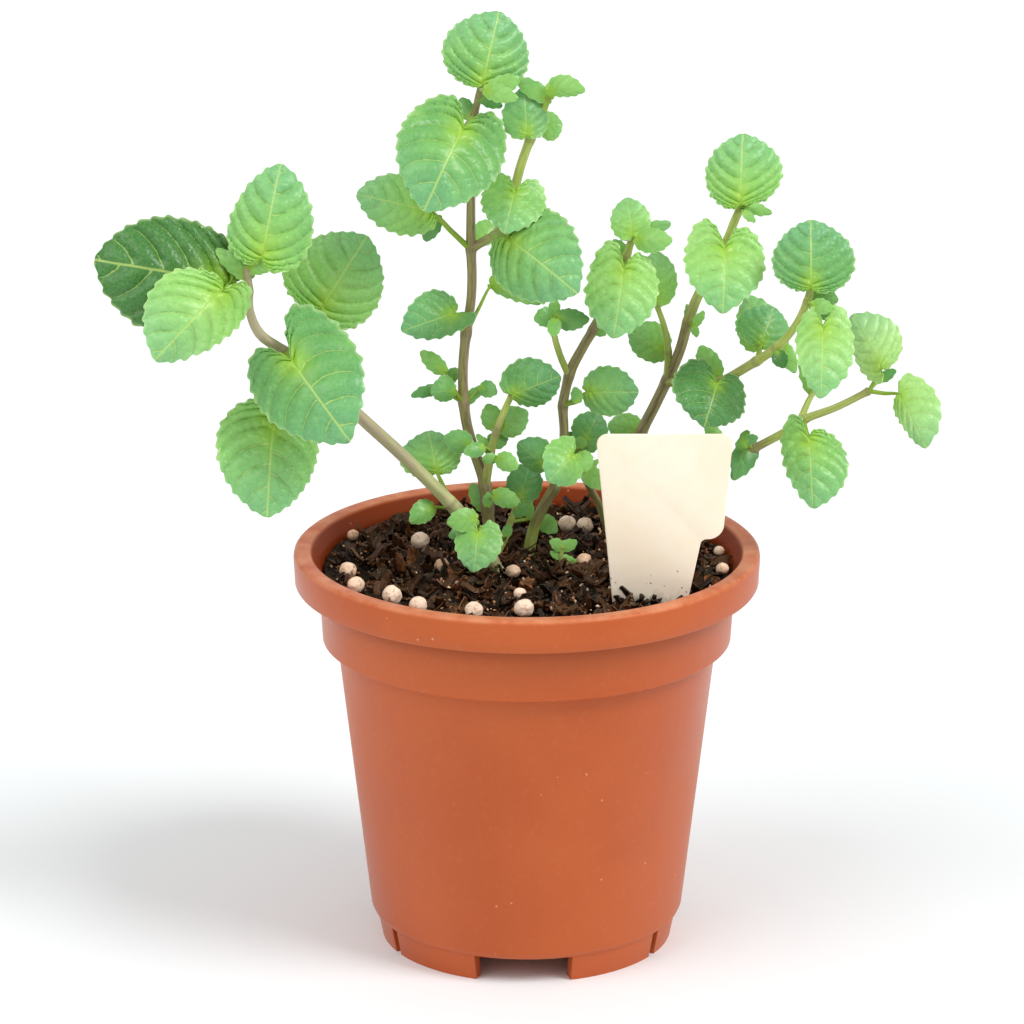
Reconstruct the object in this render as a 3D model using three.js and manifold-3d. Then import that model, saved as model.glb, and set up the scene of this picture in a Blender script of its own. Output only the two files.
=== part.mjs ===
// A potted herb: three leafy stems with their branches, two low side stems and
// a seedling, growing in a round nursery pot of potting mix, with a plant label.
// Millimetres, +Z up. The pot's axis is the Z axis and the pot's feet stand on z = 0.
import * as THREE from 'three';
import { mergeVertices } from 'three/addons/utils/BufferGeometryUtils.js';
import Module from 'manifold-3d';

const wasm = await Module();
wasm.setup();

// Pot
const POT_HEIGHT = 105;
const RIM_RADIUS = 60;
const RIM_INNER_RADIUS = 55.2;
const RIM_SKIRT_BOTTOM = 96.4;
const COLLAR_RADIUS = 53.9;
const COLLAR_BOTTOM_RADIUS = 52.6;
const COLLAR_BOTTOM = 81.3;
const BODY_TOP_RADIUS = 48.9;
const BODY_BOTTOM_RADIUS = 40.4;
const WALL = 1.2;
const FLOOR_HEIGHT = 7;
const FLOOR_THICKNESS = 1.8;
const FOOT_OUTER_RADIUS = 39.2;
const FOOT_INNER_RADIUS = 35.6;
const FOOT_GAP_HALF_ANGLE = 19.2;
const FOOT_SLOT_HALF_ANGLE = 1.8;
const DRAIN_HOLES = 6;
const DRAIN_RADIUS = 4.5;
const DRAIN_RING_RADIUS = 24;

// Potting mix
const SOIL_LEVEL = 100;
const CLEARANCE = 0.35;
const ROOT_DEPTH = 12;

// Plant label
const LABEL_THICKNESS = 1.2;
const LABEL_PLACE = -31.5;

// Blades
const BLADE_THICKNESS = 0.8;

// The front view that every stem and leaf is placed on. It looks down a little on the
// pot from far away. A place in it is [across, down, depth]: across and down are counted
// from the view's left and top edges, in steps of about a quarter of a millimetre, and
// depth is in millimetres behind the pot's axis.
const VIEW_DISTANCE = 1200;
const VIEW_HEIGHT = 488.7;
const VIEW_SIDE = -3.8;
const VIEW_TILT = THREE.MathUtils.degToRad(17.32);
const VIEW_SCALE = 4898;
const VIEW_CENTRE = 512;
const AWAY = new THREE.Vector3(0, Math.cos(VIEW_TILT), -Math.sin(VIEW_TILT));
const UPRIGHT = new THREE.Vector3(0, Math.sin(VIEW_TILT), Math.cos(VIEW_TILT));
const TOWARD = AWAY.clone().negate();

const COLOURS = {
  terracotta: 0xc8643e,
  soil: 0x33231a,
  cream: 0xfbf0d6,
  leaf: 0x7dbb6c,
  seedling: 0x8fcf62,
};

// A place of the front view as a point in millimetres.
function place(across, down, depth) {
  const ray = AWAY.clone()
    .addScaledVector(UPRIGHT, (VIEW_CENTRE - down) / VIEW_SCALE)
    .add(new THREE.Vector3((across - VIEW_CENTRE) / VIEW_SCALE, 0, 0));
  const eye = new THREE.Vector3(VIEW_SIDE, -VIEW_DISTANCE, VIEW_HEIGHT);
  return eye.addScaledVector(ray, (depth + VIEW_DISTANCE) / ray.y);
}

// A seeded draw between 0 and 1, the same on every run.
function seededDraw(seed) {
  let state = seed;
  return () => {
    state = (state * 1664525 + 1013904223) % 4294967296;
    return state / 4294967296;
  };
}

function toSolid(geometry) {
  const bare = geometry.clone();
  bare.deleteAttribute('normal');
  bare.deleteAttribute('uv');
  const merged = mergeVertices(bare, 1e-4);
  return new wasm.Manifold(new wasm.Mesh({
    numProp: 3,
    vertProperties: new Float32Array(merged.attributes.position.array),
    triVerts: new Uint32Array(merged.index.array),
  }));
}

function toGeometry(solid) {
  const mesh = solid.getMesh();
  const geometry = new THREE.BufferGeometry();
  geometry.setAttribute('position', new THREE.BufferAttribute(mesh.vertProperties, 3));
  geometry.setIndex(new THREE.BufferAttribute(mesh.triVerts, 1));
  geometry.computeVertexNormals();
  return geometry;
}

function joined(solids) {
  let whole = solids[0];
  for (const solid of solids.slice(1)) {
    whole = whole.add(solid);
  }
  return whole;
}

// A stem or stalk: a closed cylinder bent along a smooth line, thicker or thinner on the way.
function stalk(points, radii, sides, segments) {
  const curve = new THREE.CatmullRomCurve3(points, false, 'centripetal');
  const geometry = new THREE.CylinderGeometry(1, 1, 1, sides, segments);
  const position = geometry.attributes.position;
  const frames = curve.computeFrenetFrames(segments, false);
  for (let i = 0; i < position.count; i += 1) {
    const along = position.getY(i) + 0.5;
    const step = Math.round(along * segments);
    const centre = curve.getPointAt(along);
    const reach = curve.getUtoTmapping(along) * (radii.length - 1);
    const first = Math.min(Math.floor(reach), radii.length - 2);
    const radius = THREE.MathUtils.lerp(radii[first], radii[first + 1], reach - first);
    const point = centre
      .addScaledVector(frames.normals[step], position.getX(i) * radius)
      .addScaledVector(frames.binormals[step], -position.getZ(i) * radius);
    position.setXYZ(i, point.x, point.y, point.z);
  }
  return toSolid(geometry);
}

// The outline of one half of a blade, from its base round the lobe and the belly to the tip.
// A half is [width, lobe, belly]: its width, how far its lobe reaches back past the base and
// how far out it is widest, both as parts of the length. Turn runs from 0 at the base to PI.
function halfOutline(turn, half) {
  const [width, lobe, belly] = half;
  const nearBase = turn < Math.PI / 2;
  const back = nearBase ? lobe * 2.6 * Math.sin(turn) * Math.cos(turn) ** 2 : 0;
  const reach = nearBase ? belly * (1 - Math.cos(turn)) : belly - (1 - belly) * Math.cos(turn);
  const spread = nearBase ? Math.sin(turn) : Math.sin(turn) ** 1.15;
  return [reach - back, width * spread];
}

// A blade with a toothed edge. Its two halves meet at the midrib, and a half that shows
// narrower is folded further back. Arch bends it lengthwise, cup turns its edges down.
function blade(row, teeth) {
  const base = place(row.base[0], row.base[1], row.base[2]);
  const scale = base.distanceTo(place(row.base[0] + 1, row.base[1], row.base[2]));
  const flatTip = row.base[2] + (row.base[1] - row.tip[1]) * scale * Math.sin(VIEW_TILT);
  const tip = place(row.tip[0], row.tip[1], flatTip - row.lean * Math.cos(VIEW_TILT));
  const forward = tip.clone().sub(base);
  const length = forward.length();
  forward.normalize();
  const face = TOWARD.clone().addScaledVector(forward, -TOWARD.dot(forward)).normalize();
  const sideways = new THREE.Vector3().crossVectors(face, forward);
  const halves = [row.left, row.right].map(([w, lobe, belly]) => [w * scale, lobe, belly]);
  const widest = Math.max(halves[0][0], halves[1][0]);
  const edges = teeth * 2;
  const points = [];
  const ribCount = teeth + 1;
  const hasMiddle = teeth > 3;

  const addPoint = (along, across, side, fold) => {
    const out = across / widest;
    const bend = along > 0 ? 4 * along * (1 - along) : 2.4 * along;
    const rise = length * row.arch * bend - 0.16 * widest * out ** 1.8 - fold * across;
    const point = base.clone()
      .addScaledVector(forward, along * length)
      .addScaledVector(sideways, side * across)
      .addScaledVector(face, rise);
    points.push(point);
    return points.length - 1;
  };

  const rib = [];
  for (let i = 0; i < ribCount; i += 1) {
    const part = i / teeth;
    rib.push(addPoint(part ** 1.25, 0, 1, 0));
  }
  const faces = [];
  const rim = [[], []];
  halves.forEach((half, which) => {
    const side = which === 0 ? 1 : -1;
    const narrowing = Math.sqrt(Math.max((widest / half[0]) ** 2 - 1, 0));
    const fold = Math.min(0.55, 0.5 * narrowing);
    const edge = [rib[0]];
    const middle = [rib[0]];
    for (let i = 1; i < edges; i += 1) {
      const [reach, spread] = halfOutline(Math.PI * i / edges, half);
      const step = i % 2 === 0 ? -0.06 : 0.03;
      const notch = teeth > 1 ? 1 + step * Math.min(1, i / 4, (edges - i) / 2) : 1;
      const along = 0.4 + (reach - 0.4) * notch;
      edge.push(addPoint(along, spread * notch, side, fold));
      if (i % 2 === 0 && hasMiddle) {
        const ribPart = (i / 2 / teeth) ** 1.25;
        middle.push(addPoint(ribPart + 0.55 * (along - ribPart), 0.55 * spread, side, fold));
      }
    }
    edge.push(rib[ribCount - 1]);
    middle.push(rib[ribCount - 1]);
    const strip = [];
    if (!hasMiddle) {
      middle.splice(0, middle.length, ...rib);
    }
    for (let i = 0; i < teeth; i += 1) {
      strip.push([rib[i], middle[i], middle[i + 1]], [rib[i], middle[i + 1], rib[i + 1]]);
      strip.push([middle[i], edge[2 * i], edge[2 * i + 1]]);
      strip.push([middle[i], edge[2 * i + 1], middle[i + 1]]);
      strip.push([middle[i + 1], edge[2 * i + 1], edge[2 * i + 2]]);
    }
    for (const [a, b, c] of strip) {
      if (a !== b && b !== c && a !== c) {
        faces.push(side > 0 ? [a, c, b] : [a, b, c]);
      }
    }
    rim[which] = edge;
  });

  const count = points.length;
  const vertices = [];
  for (const offset of [BLADE_THICKNESS / 2, -BLADE_THICKNESS / 2]) {
    for (const point of points) {
      const moved = point.clone().addScaledVector(face, offset);
      vertices.push(moved.x, moved.y, moved.z);
    }
  }
  const index = [];
  for (const [a, b, c] of faces) {
    index.push(a, b, c, a + count, c + count, b + count);
  }
  const loop = [...rim[1], ...rim[0].slice(1, -1).reverse()];
  for (let i = 0; i < loop.length; i += 1) {
    const a = loop[i];
    const b = loop[(i + 1) % loop.length];
    index.push(a, a + count, b + count, a, b + count, b);
  }
  const geometry = new THREE.BufferGeometry();
  geometry.setAttribute('position', new THREE.Float32BufferAttribute(vertices, 3));
  geometry.setIndex(index);
  return { geometry, forward, face, base, length };
}

// A leaf: a blade on its stalk. The stalk leaves the stem at the row's node and runs on
// under the blade as the thick end of the midrib.
function leaf(row) {
  const size = row.left[0] + row.right[0];
  const node = place(row.node[0], row.node[1], row.node[2]);
  const gap = node.distanceTo(place(row.base[0], row.base[1], row.base[2]));
  if (size < 21 && gap < 3.5) {
    const [across, down, depth] = row.node;
    const sunk = [across - 0.05 * (row.tip[0] - across), down - 0.05 * (row.tip[1] - down), depth];
    return toSolid(blade({ ...row, base: sunk }, size < 17 ? 1 : 2).geometry);
  }
  const teeth = [19, 31, 48, 66].filter((limit) => size > limit).length + 1;
  const made = blade(row, teeth);
  const thick = THREE.MathUtils.clamp(size * 0.011, 0.45, 1.0);
  const start = made.base.clone().addScaledVector(made.face, -thick * 0.3);
  const under = made.base.clone()
    .addScaledVector(made.forward, made.length * 0.14)
    .addScaledVector(made.face, made.length * row.arch * 0.48);
  node.addScaledVector(node.clone().sub(start).normalize(), 0.3);
  const bow = node.clone().lerp(start, 0.5).addScaledVector(made.face, gap * 0.08);
  const line = gap > 6 ? [node, bow, start, under] : [node, under];
  const radii = gap > 6 ? [thick, thick, thick, 0.3] : [thick, 0.3];
  const sides = size > 61 ? 5 : 4;
  return toSolid(made.geometry).add(stalk(line, radii, sides, gap > 6 ? 3 : 1));
}

// Rows: name, node on the stem, base of the blade, tip, lean of the tip toward the viewer in
// millimetres, left and right half as seen from the base toward the tip, and the arch.
function leafRow(name, node, base, tip, lean, left, right, arch) {
  return { name, node, base, tip, lean, left, right, arch };
}

const LEFT_STEM = [
  [497, 573, -1, 1.9], [478, 536, -2, 1.85], [455, 508, -4, 1.8], [402, 455, -7, 1.6],
  [368, 424, -10, 1.5], [325, 385, -13, 1.35], [285, 352, -16, 1.25], [260, 334, -18, 1.2],
  [250, 312, -19, 1.05], [249, 290, -20, 0.95], [247, 268, -20, 0.8],
];
const LEFT_LEAVES = [
  leafRow('outer', [249, 291, -20], [229, 283, -18], [95, 260], 2, [62, 0.1, 0.42], [56, 0.12, 0.45], 0.12),
  leafRow('outer front', [249, 290, -20], [222, 291, -27], [155, 360], 6, [35, 0.28, 0.2], [52, 0.1, 0.4], 0.14),
  leafRow('upright', [248, 268, -20], [262, 257, -22], [281, 164], -5, [40, 0.1, 0.26], [45, 0.15, 0.28], 0.06),
  leafRow('bud left', [248, 276, -20], [243, 272, -22], [216, 249], -2, [9, 0.1, 0.4], [9, 0.1, 0.4], 0.05),
  leafRow('bud right', [248, 270, -20], [252, 271, -23], [276, 266], 3, [7, 0.1, 0.4], [6, 0.1, 0.4], 0.1),
  leafRow('back', [303, 368, -14], [322, 308, -8], [367, 236], -6, [54, 0.12, 0.26], [45, 0.14, 0.36], 0.1),
  leafRow('middle front', [285, 352, -16], [291, 360, -24], [350, 441], 6, [60, 0.52, 0.22], [54, 0.34, 0.2], 0.13),
  leafRow('hanging', [303, 368, -14], [273, 420, -18], [267, 517], 3, [46, 0.1, 0.24], [55, 0.22, 0.24], 0.1),
  leafRow('low', [450, 503, -4], [437, 472, 3], [428, 431], -6, [34, 0.06, 0.45], [27, 0.06, 0.45], 0.1),
  leafRow('low bud', [456, 509, -4], [433, 507, -4], [410, 522], 3, [9, 0.1, 0.4], [13, 0.1, 0.4], 0.15),
  leafRow('front', [479, 528, -7], [478, 533, -13], [474, 572], 3, [21, 0.36, 0.3], [19, 0.14, 0.38], 0.1),
  leafRow('front left', [479, 528, -7], [476, 519, -10], [447, 522], 2, [12, 0.1, 0.4], [12, 0.1, 0.4], 0.12),
  leafRow('front small', [482, 537, -5], [470, 528, -5], [449, 537], 1, [8, 0.1, 0.4], [7, 0.1, 0.4], 0.1),
];
const FRONT_SPRIG = [[491, 562, -1.5, 1.1], [485, 546, -5, 0.9], [479, 527, -7, 0.7]];

const CENTRE_TRUNK = [
  [498, 565, 5.5, 1.6], [490, 530, 5, 1.6], [487, 505, 4, 1.55], [484, 480, 4, 1.5],
  [474, 450, 4, 1.35], [467, 425, 4, 1.3], [464, 404, 3, 1.35], [463, 370, 3, 1.25],
  [466, 334, 3, 1.3], [471, 300, 3, 1.2], [472, 275, 3, 1.2], [471, 248, 3, 1.25],
  [471, 200, 2, 1.1], [472, 150, 1, 1.0], [474, 118, 1, 1.0], [481, 88, 0, 0.8],
];
const CENTRE_SIDE = [
  [471, 249, 3, 1.1], [484, 241, 2, 1.1], [496, 234, 1, 1.1], [504, 215, 1, 1.1],
  [514, 190, 0, 1.2], [521, 165, 0, 1.2], [530, 140, -1, 1.15], [541, 117, -1, 0.95],
  [548, 98, -2, 0.8],
];
const SHORT_SHOOT = [
  [485, 486, 4, 1.2], [488, 468, 2, 1.1], [491, 450, 1, 1.0], [498, 427, 0, 0.85],
  [506, 407, 0, 0.8], [512, 394, 0, 0.7],
];
const INNER_SPRIG = [[496, 558, 5.5, 0.9], [504, 540, 6, 0.85], [513, 515, 8, 0.75], [520, 498, 9, 0.6]];
const CENTRE_LEAVES = [
  leafRow('low left a', [462, 402, 3], [454, 391, -1], [431, 392], 3, [10, 0.1, 0.4], [16, 0.1, 0.4], 0.15),
  leafRow('low left b', [462, 402, 3], [437, 388, 2], [411, 396], 2, [6, 0.1, 0.4], [6, 0.1, 0.4], 0.1),
  leafRow('low left c', [462, 402, 3], [444, 371, 1], [421, 351], -1, [9, 0.1, 0.4], [8, 0.1, 0.4], 0.08),
  leafRow('low left d', [462, 402, 3], [449, 381, 5], [457, 368], 0, [7, 0.1, 0.4], [6, 0.1, 0.4], 0.08),
  leafRow('low right a', [466, 402, 3], [472, 397, 1], [482, 386], 0, [6, 0.1, 0.4], [6, 0.1, 0.4], 0.08),
  leafRow('low right b', [466, 402, 3], [481, 387, 2], [497, 393], 2, [9, 0.1, 0.4], [8, 0.1, 0.4], 0.1),
  leafRow('mid left', [466, 334, 3], [454, 313, -4], [402, 331], 3, [19, 0.48, 0.28], [29, 0.12, 0.3], 0.12),
  leafRow('under', [468, 331, 3], [492, 285, 8], [541, 303], 3, [20, 0.1, 0.4], [7, 0.1, 0.5], 0.1),
  leafRow('upper left', [469, 248, 3], [431, 212, -3], [357, 194], -1, [29, 0.12, 0.35], [30, 0.12, 0.42], 0.1),
  leafRow('upper left small', [469, 248, 3], [437, 216, 3], [425, 241], 0, [9, 0.1, 0.4], [10, 0.1, 0.4], 0.1),
  leafRow('large front', [494, 236, 1], [508, 238, -11], [577, 293], 7, [50, 0.2, 0.36], [42, 0.14, 0.34], 0.18),
  leafRow('top front', [474, 118, 1], [463, 128, -11], [424, 211], 7, [51, 0.28, 0.24], [56, 0.38, 0.34], 0.15),
  leafRow('top bud', [474, 118, 1], [469, 117, 6], [461, 98], -2, [8, 0.1, 0.4], [9, 0.1, 0.4], 0.05),
  leafRow('top', [481, 89, 0], [482, 85, -2], [499, 12], -4, [47, 0.06, 0.42], [40, 0, 0.42], 0.06),
  leafRow('top right a', [481, 90, 0], [486, 90, -8], [518, 99], 4, [9, 0.1, 0.4], [9, 0.1, 0.4], 0.12),
  leafRow('top right b', [482, 92, 0], [489, 91, -4], [520, 78], 0, [10, 0.1, 0.4], [10, 0.1, 0.4], 0.1),
  leafRow('top right c', [480, 96, 0], [485, 96, 3], [502, 107], -1, [7, 0.1, 0.4], [7, 0.1, 0.4], 0.08),
  leafRow('side front', [514, 190, 0], [515, 191, -7], [505, 233], 5, [33, 0.44, 0.24], [31, 0.44, 0.25], 0.1),
  leafRow('side upright', [530, 139, -1], [527, 134, -6], [524, 88], -3, [24, 0.12, 0.36], [22, 0.12, 0.36], 0.06),
  leafRow('side right', [530, 139, -1], [541, 128, 4], [562, 123], 0, [15, 0.1, 0.4], [15, 0.1, 0.4], 0.08),
  leafRow('side top right', [548, 98, -2], [549, 91, -4], [585, 91], 3, [16, 0.1, 0.4], [6, 0.1, 0.4], 0.14),
  leafRow('side top left', [548, 98, -2], [546, 92, -1], [515, 79], 0, [9, 0.1, 0.4], [9, 0.1, 0.4], 0.1),
  leafRow('node back', [472, 248, 3], [480, 243, 11], [488, 220], -3, [12, 0.1, 0.4], [12, 0.1, 0.4], 0.06),
  leafRow('shoot top', [512, 394, 0], [513, 394, -2], [560, 376], 2, [30, 0.22, 0.38], [20, 0.05, 0.45], 0.1),
  leafRow('shoot right', [498, 429, 0], [500, 428, 4], [527, 411], 0, [14, 0.1, 0.4], [16, 0.1, 0.4], 0.1),
  leafRow('shoot left', [498, 429, 0], [495, 428, 3], [488, 404], -1, [11, 0.1, 0.4], [11, 0.1, 0.4], 0.1),
  leafRow('shoot small', [496, 434, 0], [497, 433, 5], [499, 449], 0, [10, 0.1, 0.4], [11, 0.1, 0.4], 0.1),
  leafRow('shoot low a', [489, 460, 1], [498, 458, -5], [518, 468], 3, [10, 0.1, 0.4], [9, 0.1, 0.4], 0.12),
  leafRow('shoot low b', [489, 460, 1], [496, 459, -4], [482, 459], 1, [5, 0.1, 0.4], [6, 0.1, 0.4], 0.08),
  leafRow('shoot far left', [490, 452, 1], [470, 445, -4], [444, 437], 1, [11, 0.1, 0.4], [12, 0.1, 0.4], 0.1),
  leafRow('shoot near left', [490, 452, 1], [483, 447, -6], [464, 453], 2, [8, 0.1, 0.4], [7, 0.1, 0.4], 0.1),
  leafRow('shoot tiny', [490, 452, 1], [486, 443, 0], [477, 434], 0, [5, 0.1, 0.4], [5, 0.1, 0.4], 0.06),
  leafRow('base bud', [487, 508, 4], [487, 506, 0], [489, 492], 0, [5, 0.1, 0.4], [5, 0.1, 0.4], 0.06),
  leafRow('base right', [487, 503, 4], [494, 495, -2], [520, 503], 3, [10, 0.1, 0.4], [9, 0.1, 0.4], 0.12),
  leafRow('base left', [487, 508, 4], [480, 503, 5], [471, 484], -1, [10, 0.1, 0.4], [10, 0.1, 0.4], 0.08),
  leafRow('inner top', [520, 499, 9], [520, 498, 9], [531, 463], -2, [18, 0.14, 0.4], [18, 0.14, 0.4], 0.08),
  leafRow('inner small', [515, 510, 8], [516, 508, 4], [526, 514], 1, [8, 0.1, 0.4], [8, 0.1, 0.4], 0.08),
  leafRow('inner pointed', [515, 510, 8], [527, 518, 14], [530, 501], -1, [6, 0.1, 0.35], [6, 0.1, 0.35], 0.05),
  leafRow('inner low', [504, 540, 6], [506, 536, 2], [509, 524], 0, [5, 0.1, 0.4], [5, 0.1, 0.4], 0.05),
  leafRow('inner right', [511, 522, 7.5], [541, 519, 14], [557, 532], 2, [9, 0.1, 0.4], [9, 0.1, 0.4], 0.1),
];

const MIDDLE_STEM = [
  [527, 560, 12, 1.6], [535, 525, 10, 1.5], [547, 500, 8, 1.4], [556, 485, 7, 1.35],
  [563, 456, 7, 1.15], [564, 430, 7, 1.1], [563, 406, 7, 1.2], [566, 388, 7, 1.15],
  [571, 370, 7, 1.25], [583, 347, 7, 1.15], [593, 330, 6, 1.15], [605, 305, 6, 1.05],
  [618, 275, 6, 1.05], [626, 258, 6, 1.0], [632, 238, 6, 0.8],
];
const MIDDLE_TWIG = [[569, 376, 7, 0.9], [560, 355, 5, 0.85], [554, 333, 3, 0.8], [554, 316, 2, 0.7]];
const MIDDLE_SPUR = [[555, 487, 7, 0.9], [570, 477, 5, 0.75], [586, 469, 4, 0.6]];
const MIDDLE_LEAVES = [
  leafRow('base left', [555, 487, 7], [545, 465, 3], [518, 443], 0, [14, 0.14, 0.4], [20, 0.14, 0.4], 0.1),
  leafRow('base bright', [562, 459, 7], [573, 455, -4], [548, 481], 4, [21, 0.2, 0.38], [25, 0.42, 0.3], 0.1),
  leafRow('base bright small', [562, 459, 7], [578, 455, -1], [590, 470], 2, [11, 0.1, 0.4], [11, 0.1, 0.4], 0.1),
  leafRow('spur low', [586, 469, 4], [586, 471, 2], [602, 489], 2, [10, 0.1, 0.4], [10, 0.1, 0.4], 0.1),
  leafRow('spur tip', [586, 469, 4], [589, 466, 4], [599, 460], 0, [4, 0.1, 0.4], [4, 0.1, 0.4], 0.05),
  leafRow('mid right', [563, 406, 7], [588, 392, 4], [638, 392], 1, [26, 0.12, 0.4], [24, 0.12, 0.45], 0.1),
  leafRow('mid small', [563, 406, 7], [578, 402, 1], [575, 387], 0, [6, 0.1, 0.4], [6, 0.1, 0.4], 0.05),
  leafRow('twig left', [554, 317, 2], [551, 318, -1], [534, 319], 2, [9, 0.1, 0.4], [11, 0.1, 0.4], 0.12),
  leafRow('twig right', [554, 317, 2], [558, 318, 0], [589, 320], 2, [10, 0.1, 0.35], [12, 0.1, 0.35], 0.12),
  leafRow('twig top', [554, 316, 2], [554, 312, 3], [555, 298], 0, [6, 0.1, 0.4], [6, 0.1, 0.4], 0.05),
  leafRow('twig low', [554, 317, 2], [555, 320, -3], [553, 337], 2, [7, 0.1, 0.4], [7, 0.1, 0.4], 0.08),
  leafRow('stem bud', [594, 330, 6], [594, 333, 3], [606, 335], 1, [5, 0.1, 0.4], [4, 0.1, 0.4], 0.05),
  leafRow('large front', [624, 262, 6], [624, 268, -2], [614, 338], 5, [37, 0.28, 0.34], [35, 0.46, 0.4], 0.12),
  leafRow('top', [632, 238, 6], [633, 236, 4], [627, 198], -3, [20, 0.12, 0.4], [20, 0.12, 0.4], 0.06),
  leafRow('top right low', [632, 238, 6], [637, 238, 2], [672, 241], 3, [11, 0.1, 0.4], [14, 0.1, 0.4], 0.12),
  leafRow('top right high', [632, 238, 6], [638, 232, 8], [671, 223], 0, [9, 0.1, 0.4], [9, 0.1, 0.4], 0.1),
  leafRow('top left', [626, 258, 6], [625, 257, 10], [613, 240], 0, [7, 0.1, 0.4], [8, 0.1, 0.4], 0.08),
];

const BEHIND_STEM = [
  [608, 530, 29, 1.1], [600, 507, 27, 1.0], [590, 488, 25, 0.95], [581, 469, 22, 0.9],
  [579, 452, 19, 0.85], [583, 441, 17, 0.75],
];
const BEHIND_LEAVES = [
  leafRow('top', [583, 441, 17], [585, 440, 14], [599, 413], -2, [19, 0.14, 0.4], [18, 0.14, 0.4], 0.08),
  leafRow('left', [580, 450, 18], [579, 446, 17], [562, 431], 0, [8, 0.1, 0.4], [8, 0.1, 0.4], 0.08),
  leafRow('bud', [581, 448, 18], [580, 448, 13], [581, 436], 0, [6, 0.1, 0.4], [6, 0.1, 0.4], 0.06),
  leafRow('right', [581, 448, 18], [583, 448, 14], [599, 446], 1, [6, 0.1, 0.4], [6, 0.1, 0.4], 0.06),
];

const RIGHT_STEM = [
  [614, 524, 35, 1.6], [625, 480, 31, 1.5], [640, 435, 28, 1.4], [655, 405, 26, 1.35],
  [667, 380, 24, 1.35], [680, 350, 21, 1.25], [688, 322, 19, 1.3], [697, 298, 17, 1.2],
  [712, 270, 15, 1.1], [726, 243, 13, 1.05], [735, 220, 12, 1.0], [741, 207, 11, 0.9],
];
const RIGHT_TWIG = [[667, 379, 24, 1.0], [668, 350, 22, 0.9], [664, 326, 20, 0.85], [656, 303, 19, 0.7]];
const RIGHT_BRANCH = [
  [667, 381, 24, 1.2], [692, 385, 17, 1.2], [717, 383, 9, 1.2], [745, 368, 2, 1.2],
  [777, 347, -4, 1.15], [796, 325, -9, 1.05], [807, 302, -11, 0.95], [811, 289, -12, 0.8],
];
const RIGHT_LEAVES = [
  leafRow('low', [642, 431, 28], [640, 432, 31], [608, 425], -2, [15, 0.1, 0.4], [16, 0.1, 0.4], 0.08),
  leafRow('node bud a', [688, 322, 19], [686, 318, 17], [687, 304], 0, [3.5, 0.1, 0.4], [3.5, 0.1, 0.4], 0.05),
  leafRow('node bud b', [688, 322, 19], [695, 325, 15], [704, 311], 0, [4.5, 0.1, 0.4], [4.5, 0.1, 0.4], 0.05),
  leafRow('node bud c', [688, 322, 19], [694, 327, 14], [697, 337], 0, [4, 0.1, 0.4], [4, 0.1, 0.4], 0.05),
  leafRow('large front', [726, 243, 13], [725, 247, 2], [723, 313], 6, [40, 0.36, 0.26], [40, 0.5, 0.26], 0.14),
  leafRow('top', [741, 207, 11], [740, 204, 9], [743, 134], -4, [35, 0.08, 0.46], [41, 0.02, 0.5], 0.06),
  leafRow('top small', [741, 207, 11], [743, 209, 8], [772, 213], 3, [7, 0.1, 0.4], [6, 0.1, 0.4], 0.14),
  leafRow('top bud', [741, 210, 11], [744, 212, 7], [755, 222], 1, [4.5, 0.1, 0.4], [4.5, 0.1, 0.4], 0.05),
  leafRow('twig top', [656, 303, 19], [656, 301, 18], [656, 251], -3, [18, 0.12, 0.4], [21, 0.12, 0.4], 0.08),
  leafRow('twig low', [667, 352, 22], [664, 350, 24], [629, 331], -2, [18, 0.16, 0.42], [21, 0.12, 0.42], 0.08),
  leafRow('dark front', [717, 383, 9], [717, 383, -2], [704, 427], 6, [34, 0.4, 0.26], [43, 0.5, 0.26], 0.14),
  leafRow('dark back', [719, 383, 9], [717, 376, 15], [700, 346], -2, [12, 0.1, 0.4], [11, 0.1, 0.4], 0.08),
  leafRow('branch mid', [757, 361, 0], [761, 344, 5], [774, 307], -5, [31, 0.1, 0.34], [26, 0.1, 0.42], 0.08),
  leafRow('branch mid back', [759, 360, 0], [758, 346, 15], [748, 296], -4, [17, 0.1, 0.4], [26, 0.1, 0.4], 0.06),
  leafRow('branch dark bud', [775, 349, -4], [777, 352, -8], [784, 368], 1, [8, 0.1, 0.4], [8, 0.1, 0.4], 0.08),
  leafRow('branch pale bud', [777, 348, -4], [783, 345, 4], [795, 373], 0, [8, 0.1, 0.4], [8, 0.1, 0.4], 0.08),
  leafRow('branch top', [811, 289, -12], [811, 287, -14], [811, 220], -4, [38, 0.06, 0.42], [44, 0.1, 0.4], 0.06),
  leafRow('branch bract a', [810, 295, -12], [812, 293, -6], [838, 301], 0, [10, 0.1, 0.4], [10, 0.1, 0.4], 0.08),
  leafRow('branch bract b', [808, 301, -11], [817, 304, -7], [842, 322], 1, [10, 0.1, 0.4], [9, 0.1, 0.4], 0.08),
  leafRow('branch bract c', [808, 301, -11], [813, 305, -17], [834, 309], 3, [8, 0.1, 0.4], [8, 0.1, 0.4], 0.14),
  leafRow('branch front', [808, 301, -11], [823, 327, -21], [821, 398], 5, [31, 0.38, 0.32], [26, 0.3, 0.2], 0.1),
];

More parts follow.
